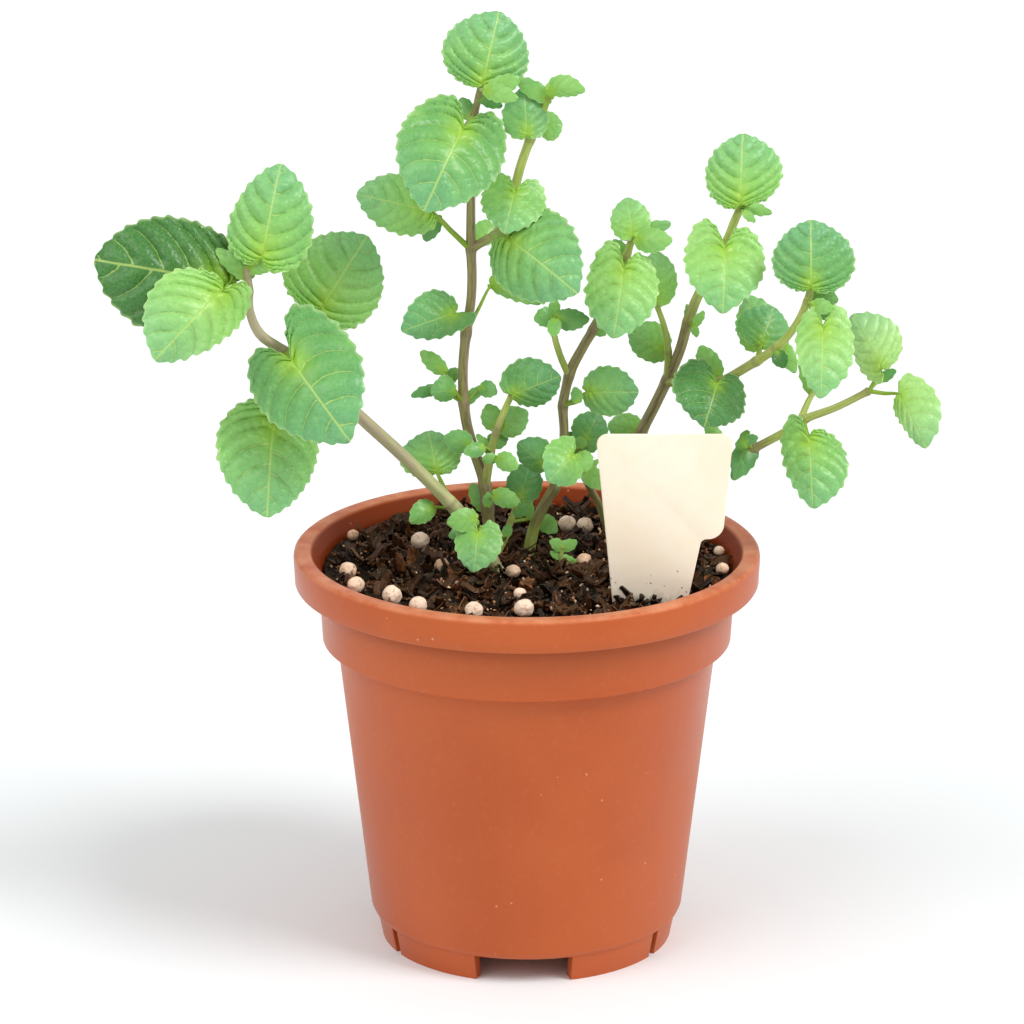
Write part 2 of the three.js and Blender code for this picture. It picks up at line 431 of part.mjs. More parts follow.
const LOW_STEM = [
  [636, 545, 18, 1.4], [655, 515, 16, 1.35], [690, 485, 13, 1.3], [725, 463, 11, 1.2],
  [757, 447, 9, 1.15], [790, 429, 7, 1.15], [803, 420, 6, 1.15], [837, 407, 5, 1.0],
  [869, 391, 4, 0.95],
];
const LOW_TWIG = [[800, 421, 6, 0.85], [808, 402, 9, 0.75], [814, 391, 12, 0.6]];
const LOW_LEAVES = [
  leafRow('near label', [748, 451.5, 9.3], [748, 441, 10.4], [733, 480], 3, [15, 0.14, 0.3], [10, 0.3, 0.2], 0.1),
  leafRow('near label bud', [753, 449, 9], [746, 441, 6], [758, 437], 0, [5, 0.1, 0.4], [5, 0.1, 0.4], 0.05),
  leafRow('behind label', [722, 464, 11], [720, 438, 17], [705, 427], 0, [8, 0.1, 0.4], [7, 0.1, 0.4], 0.05),
  leafRow('hanging', [803, 420, 6], [809, 438, -2], [813, 508], 3, [37, 0.14, 0.42], [27, 0.42, 0.14], 0.1),
  leafRow('twig', [814, 391, 12], [813, 392, 12], [803, 353], -2, [10, 0.1, 0.4], [9, 0.1, 0.4], 0.06),
  leafRow('outer upright', [869, 391, 4], [881, 368, 1], [852, 315], -3, [18, 0.24, 0.3], [34, 0.06, 0.42], 0.1),
  leafRow('outer bud', [869, 391, 4], [880, 380, 6], [896, 370], 0, [6, 0.1, 0.4], [5, 0.1, 0.4], 0.05),
  leafRow('outer', [869, 391, 4], [899, 394, 0], [926, 448], 3, [33, 0.28, 0.32], [12, 0, 0.3], 0.1),
];

const SEEDLING_STEM = [[562, 572, 1, 0.6], [561, 557, 1, 0.5], [563, 547, 1, 0.45]];
const SEEDLING_LEAVES = [
  leafRow('top left', [563, 548, 1], [561, 549, 0], [550, 540], 0, [6, 0.1, 0.4], [6, 0.1, 0.4], 0.08),
  leafRow('top right', [563, 548, 1], [565, 549, 0], [577, 541], 0, [6, 0.1, 0.4], [6, 0.1, 0.4], 0.08),
  leafRow('low left', [561, 557, 1], [559, 557, -1], [550, 552], 0, [4, 0.1, 0.4], [4, 0.1, 0.4], 0.05),
  leafRow('low right', [561, 557, 1], [564, 559, -1], [577, 562], 1, [4, 0.1, 0.4], [4, 0.1, 0.4], 0.05),
];

// Slow-release pellets and perlite grains half sunk in the mix: across, down and width in the
// front view.
const PELLETS = [
  [348, 574, 16], [356, 592, 16], [392, 601, 18], [418, 611, 16], [420, 544, 18],
  [442, 565, 14], [474, 612, 17], [513, 574, 14], [520, 597, 12], [524, 612, 18],
  [567, 527, 16], [585, 528, 16], [584, 560, 14], [407, 524, 9], [353, 538, 11],
  [722, 573, 12], [719, 553, 10],
];

// A stem's centre line, with its root carried on into the mix the way the stem leans.
function stemLine(rows, rooted) {
  const points = rows.map(([across, down, depth]) => place(across, down, depth));
  const radii = rows.map((row) => row[3]);
  if (rooted) {
    const lean = points[1].clone().sub(points[0]);
    points.unshift(points[0].clone().addScaledVector(lean, -ROOT_DEPTH / lean.z));
    radii.unshift(radii[0]);
  }
  return { points, radii };
}

function stemSolid(rows, rooted, sides) {
  const { points, radii } = stemLine(rows, rooted);
  return stalk(points, radii, sides, points.length);
}

// The plain straight hole that a stem stands in, a little wider than its root.
function rootHole(rows) {
  const { points, radii } = stemLine(rows, true);
  const lean = points[1].clone().sub(points[0]).normalize();
  const bottom = points[0].clone().addScaledVector(lean, -CLEARANCE);
  const top = points[1].clone().addScaledVector(lean, 4);
  const wide = (radii[0] + CLEARANCE) / Math.cos(Math.PI / 6);
  return stalk([bottom, top], [wide, wide], 6, 1);
}

function pot() {
  const lip = RIM_RADIUS - 0.6;
  const floorTop = FLOOR_HEIGHT + FLOOR_THICKNESS;
  const profile = [
    [0, FLOOR_HEIGHT], [BODY_BOTTOM_RADIUS - 1, FLOOR_HEIGHT],
    [BODY_BOTTOM_RADIUS, FLOOR_HEIGHT + 1.2],
    [BODY_TOP_RADIUS, COLLAR_BOTTOM - 1.2], [COLLAR_BOTTOM_RADIUS, COLLAR_BOTTOM],
    [COLLAR_RADIUS, POT_HEIGHT - 3.4],
    [RIM_RADIUS - 2, POT_HEIGHT - 2.6], [RIM_RADIUS - 1.5, RIM_SKIRT_BOTTOM],
    [RIM_RADIUS, RIM_SKIRT_BOTTOM],
    [lip, POT_HEIGHT - 1], [lip - 1.2, POT_HEIGHT],
    [RIM_INNER_RADIUS + 0.4, POT_HEIGHT - 0.4],
    [COLLAR_RADIUS - WALL, POT_HEIGHT - 4], [COLLAR_BOTTOM_RADIUS - WALL, COLLAR_BOTTOM + 1.4],
    [BODY_TOP_RADIUS - WALL, COLLAR_BOTTOM - 0.4], [BODY_BOTTOM_RADIUS - WALL, floorTop],
    [0, floorTop],
  ].map(([radius, height]) => new THREE.Vector2(radius, height));
  const lathe = new THREE.LatheGeometry(profile, 32);
  lathe.rotateX(Math.PI / 2);
  let body = toSolid(lathe);
  const wide = FOOT_GAP_HALF_ANGLE;
  const slot = FOOT_SLOT_HALF_ANGLE;
  for (let third = 0; third < 3; third += 1) {
    const spans = [[wide, 60 - slot], [60 + slot, 120 - wide]];
    for (const [from, to] of spans) {
      const start = THREE.MathUtils.degToRad(third * 120 + from - 91.3);
      const end = THREE.MathUtils.degToRad(third * 120 + to - 91.3);
      const shape = new THREE.Shape();
      shape.absarc(0, 0, FOOT_OUTER_RADIUS, start, end, false);
      shape.absarc(0, 0, FOOT_INNER_RADIUS, end, start, true);
      shape.closePath();
      const foot = new THREE.ExtrudeGeometry(shape, {
        depth: FLOOR_HEIGHT + 0.4,
        bevelEnabled: false,
        curveSegments: 4,
      });
      const position = foot.attributes.position;
      for (let i = 0; i < position.count; i += 1) {
        const lower = position.getZ(i) < 1 ? 0.965 : 1;
        position.setX(i, position.getX(i) * lower);
        position.setY(i, position.getY(i) * lower);
      }
      body = body.add(toSolid(foot));
    }
  }
  for (let i = 0; i < DRAIN_HOLES; i += 1) {
    const angle = THREE.MathUtils.degToRad(i * 360 / DRAIN_HOLES);
    const drill = new THREE.CylinderGeometry(DRAIN_RADIUS, DRAIN_RADIUS, 8, 10);
    drill.rotateX(Math.PI / 2);
    drill.translate(
      DRAIN_RING_RADIUS * Math.cos(angle),
      DRAIN_RING_RADIUS * Math.sin(angle),
      FLOOR_HEIGHT + FLOOR_THICKNESS / 2,
    );
    body = body.subtract(toSolid(drill));
  }
  return body;
}

// The surface of the mix: low waves with a coarse, chippy grain on top.
function soilHeight(x, y) {
  const radius = Math.hypot(x, y);
  const waves = 0.7 * Math.sin(x * 0.16 + 1.3) * Math.cos(y * 0.19 - 0.4);
  const lumps = 0.55 * Math.sin(x * 0.71 + 2 * Math.sin(y * 0.33)) * Math.sin(y * 0.83 + 0.9);
  const edge = 1.2 * Math.max(0, (radius - 44) / 9) ** 2;
  return SOIL_LEVEL + waves + lumps + edge;
}

// The label is a flag on a foot that narrows to a blunt point in the mix. Its corners are
// [across, height, rounding], going round from the point's left.
const LABEL_CORNERS = [
  [27, 80, 2], [21.6, 99, 1], [17, 144.6, 3], [51.3, 144.6, 3], [48.9, 117.4, 3.4],
  [43.6, 117.2, 1.2], [40, 99, 1], [35, 80, 2],
];

function label(grow) {
  const middle = 31;
  const shape = new THREE.Shape();
  const corners = LABEL_CORNERS.map(([x, z, round]) => (
    [x + grow * Math.sign(x - middle), z - (z < 90 ? grow : 0), grow > 0 ? 0.4 : round]
  ));
  corners.forEach(([x, z, round], index) => {
    const corner = new THREE.Vector2(x, z);
    const [px, pz] = corners[(index + corners.length - 1) % corners.length];
    const [nx, nz] = corners[(index + 1) % corners.length];
    const back = new THREE.Vector2(px - x, pz - z).setLength(round).add(corner);
    const on = new THREE.Vector2(nx - x, nz - z).setLength(round).add(corner);
    if (index === 0) {
      shape.moveTo(back.x, back.y);
    } else {
      shape.lineTo(back.x, back.y);
    }
    shape.quadraticCurveTo(corner.x, corner.y, on.x, on.y);
  });
  shape.closePath();
  const plate = new THREE.ExtrudeGeometry(shape, {
    depth: LABEL_THICKNESS + 2 * grow,
    bevelEnabled: false,
    curveSegments: grow > 0 ? 1 : 3,
  });
  plate.translate(0, 0, -LABEL_THICKNESS / 2 - grow);
  plate.rotateX(Math.PI / 2);
  plate.translate(0, LABEL_PLACE, 0);
  return toSolid(plate);
}

function soil(rootedStems) {
  const inner = CLEARANCE + WALL;
  const bottom = FLOOR_HEIGHT + FLOOR_THICKNESS + CLEARANCE;
  const topRadius = COLLAR_RADIUS - inner - 0.3;
  const rings = 5;
  const spokes = 32;
  const profile = [
    new THREE.Vector2(0, bottom), new THREE.Vector2(BODY_BOTTOM_RADIUS - inner - 1.2, bottom),
    new THREE.Vector2(BODY_TOP_RADIUS - inner, COLLAR_BOTTOM + 0.1),
    new THREE.Vector2(COLLAR_BOTTOM_RADIUS - inner, COLLAR_BOTTOM + 2),
  ];
  for (let i = rings; i >= 0; i -= 1) {
    profile.push(new THREE.Vector2(topRadius * i / rings, SOIL_LEVEL));
  }
  const lathe = new THREE.LatheGeometry(profile, spokes);
  lathe.rotateX(Math.PI / 2);
  const position = lathe.attributes.position;
  for (let i = 0; i < position.count; i += 1) {
    if (position.getZ(i) > SOIL_LEVEL - 1) {
      position.setZ(i, soilHeight(position.getX(i), position.getY(i)));
    }
  }
  let mix = toSolid(lathe);
  const draw = seededDraw(11);
  for (const [across, down, width] of PELLETS) {
    const spot = place(across, down, 0);
    const sight = spot.clone().sub(new THREE.Vector3(VIEW_SIDE, -VIEW_DISTANCE, VIEW_HEIGHT));
    const radius = width * 0.128;
    spot.addScaledVector(sight, (SOIL_LEVEL + radius * 0.5 - spot.z) / sight.z);
    const ball = new THREE.SphereGeometry(radius, 6, 5);
    ball.scale(1, 1, 0.86 + 0.14 * draw());
    ball.rotateZ(6.28 * draw());
    ball.translate(spot.x, spot.y, soilHeight(spot.x, spot.y) + radius * 0.45);
    mix = mix.add(toSolid(ball));
  }
  for (const rows of rootedStems) {
    mix = mix.subtract(rootHole(rows));
  }
  return mix.subtract(label(CLEARANCE));
}

function plantSolid(rootedRows, branches, leaves, sides) {
  const solids = [stemSolid(rootedRows, true, sides)];
  for (const rows of branches) {
    solids.push(stemSolid(rows, false, sides - 1));
  }
  for (const row of leaves) {
    solids.push(leaf(row));
  }
  return joined(solids);
}

function named(name, solid, colour, roughness) {
  const material = new THREE.MeshStandardMaterial({ color: colour, roughness, metalness: 0 });
  const mesh = new THREE.Mesh(toGeometry(solid), material);
  mesh.name = name;
  return mesh;
}

const plant = new THREE.Group();
plant.add(named('pot', pot(), COLOURS.terracotta, 0.5));
plant.add(named('potting_mix', soil([
  LEFT_STEM, CENTRE_TRUNK, MIDDLE_STEM, BEHIND_STEM, RIGHT_STEM, LOW_STEM, SEEDLING_STEM,
]), COLOURS.soil, 0.9));
plant.add(named('plant_label', label(0), COLOURS.cream, 0.6));
plant.add(named('left_stem', plantSolid(LEFT_STEM, [FRONT_SPRIG], LEFT_LEAVES, 6), COLOURS.leaf, 0.55));
plant.add(named(
  'centre_stem',
  plantSolid(CENTRE_TRUNK, [CENTRE_SIDE, SHORT_SHOOT, INNER_SPRIG], CENTRE_LEAVES, 6),
  COLOURS.leaf,
  0.55,
));
plant.add(named(
  'middle_stem',
  plantSolid(MIDDLE_STEM, [MIDDLE_TWIG, MIDDLE_SPUR], MIDDLE_LEAVES, 6),
  COLOURS.leaf,
  0.55,
));
plant.add(named('behind_stem', plantSolid(BEHIND_STEM, [], BEHIND_LEAVES, 6), COLOURS.leaf, 0.55));
plant.add(named(
  'right_stem',
  plantSolid(RIGHT_STEM, [RIGHT_TWIG, RIGHT_BRANCH], RIGHT_LEAVES, 6),
  COLOURS.leaf,
  0.55,
));
plant.add(named('low_stem', plantSolid(LOW_STEM, [LOW_TWIG], LOW_LEAVES, 6), COLOURS.leaf, 0.55));
plant.add(named(
  'seedling',
  plantSolid(SEEDLING_STEM, [], SEEDLING_LEAVES, 5),
  COLOURS.seedling,
  0.55,
));

export default plant;
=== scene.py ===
import math

import bpy
import numpy as np
from mathutils import Euler, Matrix, Vector, noise


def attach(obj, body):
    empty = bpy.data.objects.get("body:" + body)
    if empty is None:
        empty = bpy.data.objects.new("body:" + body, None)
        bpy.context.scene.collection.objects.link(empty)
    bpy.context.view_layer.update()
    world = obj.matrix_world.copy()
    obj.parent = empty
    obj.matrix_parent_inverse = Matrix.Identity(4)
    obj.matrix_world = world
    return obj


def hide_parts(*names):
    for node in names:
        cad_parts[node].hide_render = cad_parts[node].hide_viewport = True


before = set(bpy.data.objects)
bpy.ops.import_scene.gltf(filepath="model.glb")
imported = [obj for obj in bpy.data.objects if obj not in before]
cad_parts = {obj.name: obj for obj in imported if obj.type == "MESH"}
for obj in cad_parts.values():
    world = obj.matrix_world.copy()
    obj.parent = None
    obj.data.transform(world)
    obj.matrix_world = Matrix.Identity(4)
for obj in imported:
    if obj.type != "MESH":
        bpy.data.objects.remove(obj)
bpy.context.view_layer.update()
bpy.ops.object.select_all(action="DESELECT")

MM = 0.001

# The studio: a white floor in an even white room, with a broad soft light from the front
# right and a weaker one from the left. The camera looks down a little from far away, so
# the pot shows almost no perspective.
VIEW_TILT = math.radians(17.32)
VIEW_EYE = np.array([-3.8, -1200.0, 488.7]) * MM
LENS = 172.2
SENSOR_WIDTH = 36
# Rows of the lights: name, the side it shines from, its width in degrees and its strength.
SOFT_LIGHTS = [
    ("right_light", (0.6, -0.34, 0.73), 26, 1.85),
    ("left_light", (-0.55, -0.42, 0.72), 45, 1.05),
]
ROOM_STRENGTH = 0.6
FLOOR_WIDTH = 9.0
FLOOR_COLOUR = (0.87, 0.9, 0.908, 1)

scene = bpy.context.scene
scene.view_settings.view_transform = "Standard"
bpy.ops.object.camera_add(location=VIEW_EYE, rotation=(math.pi / 2 - VIEW_TILT, 0, 0))
camera = bpy.context.object
camera.data.lens = LENS
camera.data.sensor_width = SENSOR_WIDTH
scene.camera = camera

for name, side, spread, strength in SOFT_LIGHTS:
    bpy.ops.object.light_add(type="SUN", location=side)
    light = bpy.context.object
    light.name = name
    light.data.angle = math.radians(spread)
    light.data.energy = strength
    light.rotation_euler = Vector(side).to_track_quat("Z", "Y").to_euler()

room = bpy.data.worlds.new("room")
room.use_nodes = True
room.node_tree.nodes["Background"].inputs["Color"].default_value = (1, 1, 1, 1)
room.node_tree.nodes["Background"].inputs["Strength"].default_value = ROOM_STRENGTH
scene.world = room

bpy.ops.mesh.primitive_plane_add(size=FLOOR_WIDTH, location=(0, 2, 0))
floor = bpy.context.object
floor.name = "floor"
floor_paint = bpy.data.materials.new("white_floor")
floor_paint.use_nodes = True
painted = floor_paint.node_tree.nodes["Principled BSDF"].inputs
painted["Base Color"].default_value = FLOOR_COLOUR
painted["Roughness"].default_value = 0.7
painted["Specular IOR Level"].default_value = 0.2
floor.data.materials.append(floor_paint)

# The nursery pot: thin moulded polypropylene, coloured like terracotta. A disc for the
# floor is drawn up and over the rim in rings, and its underside gets feet and drain holes.
POT_SIDES = 192
POT_FLOOR = 7 * MM
POT_FLOOR_RADIUS = 39.4
# Rows of rings: radius and height in millimetres, up the outside and down the inside.
POT_RINGS = [
    (40.1, 7.6), (40.7, 8.9), (48.9, 80.1), (49.7, 80.5), (52.0, 81.0), (52.7, 81.6),
    (53.9, 101.6), (57.9, 102.3), (58.4, 96.7), (58.8, 96.4), (59.4, 96.4), (59.7, 96.9),
    (59.8, 99.5), (60.0, 103.2), (59.8, 104.3), (59.1, 104.9), (56.8, 105.0), (55.7, 104.7),
    (55.1, 104.0), (54.5, 102.9), (53.6, 101.7), (52.8, 100.2), (51.4, 82.7), (50.6, 81.5),
    (47.7, 80.4), (39.6, 10.2), (39.0, 8.8),
]
POT_SOFTNESS = 0.55
# The feet: three pairs round the underside, with a gap between pairs and a slot between the
# two of a pair, half of each in degrees.
FEET_OUTER = 39.2 * MM
FEET_INNER = 35.6 * MM
FEET_TAPER = 0.965
FEET_TURN = -91.3
HALF_GAP = 19.2
HALF_SLOT = 1.8
DRAINS = 6
DRAIN_RADIUS = 4.5 * MM
DRAIN_RING = 24 * MM


def select(*objects):
    """Selects these objects and nothing else. The first one is the active one."""
    bpy.ops.object.select_all(action="DESELECT")
    for obj in objects:
        obj.select_set(True)
    bpy.context.view_layer.objects.active = objects[0]


def pick(obj, kind, test):
    """Selects the faces or vertices that pass a test, and nothing else, in edit mode."""
    bpy.ops.object.mode_set(mode="EDIT")
    bpy.ops.mesh.select_mode(type=kind)
    bpy.ops.mesh.select_all(action="DESELECT")
    bpy.ops.object.mode_set(mode="OBJECT")
    for part in obj.data.polygons if kind == "FACE" else obj.data.vertices:
        part.select = test(part)
    bpy.ops.object.mode_set(mode="EDIT")


def extrude(rise, part=1.0):
    """Draws what is selected up or down, and widens or narrows it about the pot's axis."""
    bpy.ops.mesh.extrude_region_move(TRANSFORM_OT_translate={"value": (0, 0, rise)})
    bpy.ops.transform.resize(value=(part, part, 1), center_override=(0, 0, 0))


def extrude_rings(rings, radius, height):
    for next_radius, next_height in rings:
        extrude((next_height - height) * MM, next_radius / radius)
        radius, height = next_radius, next_height


def close_up():
    """Turns all faces outwards and leaves edit mode."""
    bpy.ops.mesh.select_all(action="SELECT")
    bpy.ops.mesh.normals_make_consistent(inside=False)
    bpy.ops.object.mode_set(mode="OBJECT")


def apply_all(obj):
    bpy.context.view_layer.objects.active = obj
    for modifier in list(obj.modifiers):
        bpy.ops.object.modifier_apply(modifier=modifier.name)


def soften_edges(obj, width, segments, angle):
    soft = obj.modifiers.new("soft_edges", "BEVEL")
    soft.width = width * MM
    soft.segments = segments
    soft.limit_method = "ANGLE"
    soft.angle_limit = math.radians(angle)
    apply_all(obj)


def in_foot(centre):
    """Whether a place round the underside lies in one of the three pairs of feet."""
    turn = (math.degrees(math.atan2(centre.y, centre.x)) - FEET_TURN) % 120
    return HALF_GAP < turn < 120 - HALF_GAP and abs(turn - 60) > HALF_SLOT


bpy.ops.mesh.primitive_circle_add(
    vertices=POT_SIDES, radius=POT_FLOOR_RADIUS * MM, fill_type="NGON", location=(0, 0, POT_FLOOR),
)
pot = bpy.context.object
pot.name = "nursery_pot"
bpy.ops.object.transform_apply(location=True)
pot.data.transform(Matrix.Rotation(math.radians(FEET_TURN), 4, "Z"))
bpy.ops.object.mode_set(mode="EDIT")
extrude_rings(POT_RINGS, POT_FLOOR_RADIUS, POT_FLOOR / MM)
bpy.ops.object.mode_set(mode="OBJECT")


def floor_face(face):
    """Whether it is the disc inside the rings."""
    return len(face.vertices) > 8 and face.center.z < POT_FLOOR + MM


def foot_face(face):
    """Whether it is one of the underside's narrow faces from which a foot grows."""
    flat = face.center.z < POT_FLOOR + 0.1 * MM and len(face.vertices) == 4
    ring = (FEET_OUTER + FEET_INNER) / 2
    return flat and abs(face.center.xy.length - ring) < MM and in_foot(face.center)


pick(pot, "FACE", floor_face)
bpy.ops.mesh.inset(thickness=POT_FLOOR_RADIUS * MM - FEET_OUTER)
bpy.ops.mesh.inset(thickness=FEET_OUTER - FEET_INNER)
bpy.ops.object.mode_set(mode="OBJECT")
pick(pot, "FACE", foot_face)
extrude(-POT_FLOOR, FEET_TAPER)
close_up()
soften_edges(pot, POT_SOFTNESS, 3, 35)
for i in range(DRAINS):
    turn = 2 * math.pi * i / DRAINS
    spot = (DRAIN_RING * math.cos(turn), DRAIN_RING * math.sin(turn), POT_FLOOR)
    bpy.ops.mesh.primitive_cylinder_add(vertices=32, radius=DRAIN_RADIUS, depth=0.01, location=spot)
    drill = bpy.context.object
    hole = pot.modifiers.new("hole", "BOOLEAN")
    hole.object = drill
    apply_all(pot)
    bpy.data.objects.remove(drill)
select(pot)
bpy.ops.object.shade_smooth_by_angle(angle=math.radians(30))


def add(tree, kind, inputs=None, **settings):
    """The outputs of a new shader node, whose inputs are set to or linked from values."""
    made = tree.nodes.new("ShaderNode" + kind)
    for name, setting in settings.items():
        setattr(made, name, setting)
    for key, given in (inputs or {}).items():
        if isinstance(given, Value):
            tree.links.new(given.socket, made.inputs[key])
        else:
            made.inputs[key].default_value = given
    return [Value(tree, socket) for socket in made.outputs]


class Value:
    """A number, place or colour in a material. Its sums and products are nodes."""

    def __init__(self, tree, socket):
        self.tree = tree
        self.socket = socket

    def calc(self, operation, *others):
        given = dict(enumerate((self, *others)))
        return add(self.tree, "Math", given, operation=operation)[0]

    def __add__(self, other):
        return self.calc("ADD", other)

    def __sub__(self, other):
        return self.calc("SUBTRACT", other)

    def __mul__(self, other):
        return self.calc("MULTIPLY", other)

    def __truediv__(self, other):
        return self.calc("DIVIDE", other)

    def __abs__(self):
        return self.calc("ABSOLUTE")

    def between(self, low, high):
        """0 where it is at low, 1 where it is at high, and smooth between them."""
        given = {"Value": self, "From Min": low, "From Max": high}
        return add(self.tree, "MapRange", given, interpolation_type="SMOOTHSTEP")[0]

    def spread(self, low, high):
        """Runs straight from low to high as it goes from 0 to 1."""
        return add(self.tree, "MapRange", {"Value": self, "To Min": low, "To Max": high})[0]

    def parts(self):
        return add(self.tree, "SeparateXYZ", {"Vector": self})


class Finish:
    """A material in the making. Its patterns read where, and its colour is mixed in steps.
    Colours are screen colours such as c8643e."""

    def __init__(self, name, roughness, specular=0.5):
        self.made = bpy.data.materials.new(name)
        self.made.use_nodes = True
        self.tree = self.made.node_tree
        self.where = add(self.tree, "TexCoord")[3]
        self.set("Roughness", roughness)
        self.set("Specular IOR Level", specular)

    def set(self, name, given):
        """Sets an input of the shader, or links it from a value."""
        socket = self.tree.nodes["Principled BSDF"].inputs[name]
        if isinstance(given, Value):
            self.tree.links.new(given.socket, socket)
        else:
            socket.default_value = given

    def noted(self, name):
        """The three numbers that are noted under a name on the mesh's points."""
        return add(self.tree, "Attribute", attribute_name=name)[1]

    def grain(self, scale, detail=2.0, roughness=0.5, where=None):
        given = {"Vector": where or self.where, "Scale": scale, "Detail": detail}
        return add(self.tree, "TexNoise", {**given, "Roughness": roughness})[0]

    def cells(self, scale):
        """How far it is to the middle of the nearest cell, and a random number per cell."""
        away, lot = add(self.tree, "TexVoronoi", {"Vector": self.where, "Scale": scale})[:2]
        return away, add(self.tree, "SeparateColor", {"Color": lot})[0]

    def seams(self, scale):
        """How far it is to the nearest edge between cells."""
        given = {"Vector": self.where, "Scale": scale}
        return add(self.tree, "TexVoronoi", given, feature="DISTANCE_TO_EDGE")[0]

    def linear(self, colour):
        if isinstance(colour, Value):
            return colour
        parts = [int(colour[i:i + 2], 16) / 255 for i in (0, 2, 4)]
        straight = [p / 12.92 if p <= 0.04045 else ((p + 0.055) / 1.055) ** 2.4 for p in parts]
        return (*straight, 1)

    def mix(self, share, first, second):
        """The first colour, or the second where share is 1."""
        given = {0: share, 6: self.linear(first), 7: self.linear(second)}
        return add(self.tree, "Mix", given, data_type="RGBA")[2]

    def tint(self, share, colour):
        self.colour = self.mix(share, self.colour, colour)

    def bump(self, height, strength, distance):
        given = {"Height": height, "Strength": strength, "Distance": distance}
        self.set("Normal", add(self.tree, "Bump", given)[0])

    def done(self):
        self.set("Base Color", self.colour)
        return self.made


plastic = Finish("terracotta_plastic", 0.4)
plastic.set("Specular Tint", (1, 0.82, 0.68, 1))
cloudy = plastic.grain(22, 3).between(0.35, 0.65)
plastic.colour = plastic.mix(cloudy, "b44f1d", "bb5725")
dusty = plastic.grain(620, 4, 0.7).between(0.52, 0.75)
plastic.tint(dusty * 0.16, "cc7c5a")
across, deep, up = plastic.where.parts()
around = (across * across + deep * deep).calc("SQRT")
# Painted shade darkens and dulls the inner wall; a painted highlight lightens the rim's top.
inside = around.between(0.0558, 0.0553) * up.between(0.09, 0.1)
inner_wall_shade = inside * up.between(0.1047, 0.1039)
plastic.tint(inner_wall_shade * 0.8, "7a2c0e")
plastic.set("Specular IOR Level", inner_wall_shade.spread(0.5, 0.12))
# Painted highlight: the rim's top and upper outer edge are lightened in patches.
on_top = up.between(0.1036, 0.1048) * around.between(0.0551, 0.056)
rim_top_highlight = on_top * plastic.grain(160, 4, 0.6).between(0.2, 0.7)
plastic.tint(rim_top_highlight * 0.6, "e09a72")
away, lot = plastic.cells(260)
speck = away.between(0.1, 0.04) * lot.calc("GREATER_THAN", 0.86)
plastic.tint(speck * 0.5, "eab79c")
plastic.set("Roughness", cloudy.spread(0.34, 0.46))
plastic.bump(plastic.grain(900, 5, 0.65), 0.12, 0.12 * MM)
pot.data.materials.clear()
pot.data.materials.append(plastic.done())
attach(pot, "root")
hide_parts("pot")

# The potting mix: one plug of peat that fills the pot, bedded to the wall. Its loose top of
# bark flakes, crumbs, root fibres and grit is strewn over it by a seeded draw.
SOIL_LEVEL = 100
MIX_RADIUS = 52.05
MIX_CELLS = 150
MIX_RINGS = [(51.05, 83.3), (47.35, 81.4), (37.65, 9.15)]
EDGE_START = 44
STREWN_RADIUS = 50.6
STREW = np.random.default_rng(23)
STEM_FEET = [(-3.5, -16.8), (-3.3, -8.6), (3.9, -1.5), (23.8, 16.0), (25.2, 22.0), (30.4, 4.6)]
STEM_ROOM = 1.2
LABEL_PLACE = -31.5
LABEL_SPAN = (18, 44)
CRUMB_ROUGHNESS = 0.3
HEAPED_CRUMBS = 64
VIEW_CENTRE = 512
VIEW_SCALE = 4898
AWAY = np.array([0, math.cos(VIEW_TILT), -math.sin(VIEW_TILT)])
UPRIGHT = np.array([0, math.sin(VIEW_TILT), math.cos(VIEW_TILT)])
# Rows of the pellets: across, down and width in steps of the front view, and tint.
PELLETS = [
    (348, 574, 16, 0.55), (356, 592, 16, 0.6), (392, 601, 18, 0.8), (418, 611, 16, 0.7),
    (420, 544, 18, 0.85), (442, 565, 14, 0.3), (474, 612, 17, 0.75), (513, 574, 14, 0.5),
    (520, 597, 12, 0.7), (524, 612, 18, 0.75), (567, 527, 16, 0.9), (585, 528, 16, 0.85),
    (584, 560, 14, 0.4), (407, 524, 9, 0.95), (353, 538, 11, 0.35), (722, 573, 12, 0.55),
    (719, 553, 10, 0.7),
]
PELLET_RADIUS_PER_STEP = 0.138


def place(across, down, depth):
    """A place of the front view, in millimetres."""
    ray = AWAY + UPRIGHT * (VIEW_CENTRE - down) / VIEW_SCALE
    ray = ray + np.array([(across - VIEW_CENTRE) / VIEW_SCALE, 0, 0])
    return VIEW_EYE / MM + ray * (depth - VIEW_EYE[1] / MM) / ray[1]


def soil_height(x, y):
    """The level of the mix in millimetres: low waves, a coarse grain and a raised edge."""
    waves = 0.7 * np.sin(x * 0.16 + 1.3) * np.cos(y * 0.19 - 0.4)
    lumps = 0.55 * np.sin(x * 0.71 + 2 * np.sin(y * 0.33)) * np.sin(y * 0.83 + 0.9)
    edge = 1.2 * np.clip((np.hypot(x, y) - EDGE_START) / 9, 0, None) ** 2
    return SOIL_LEVEL + waves + lumps + edge


def points_of(obj):
    spots = np.empty(len(obj.data.vertices) * 3)
    obj.data.vertices.foreach_get("co", spots)
    return spots.reshape(-1, 3)


def note(mesh, name, numbers):
    """Notes three numbers on each point of a mesh, for its material to read."""
    numbers = np.broadcast_to(numbers, (len(mesh.vertices), 3)).astype(np.float32)
    made = mesh.attributes.new(name, "FLOAT_VECTOR", "POINT")
    made.data.foreach_set("vector", numbers.ravel())


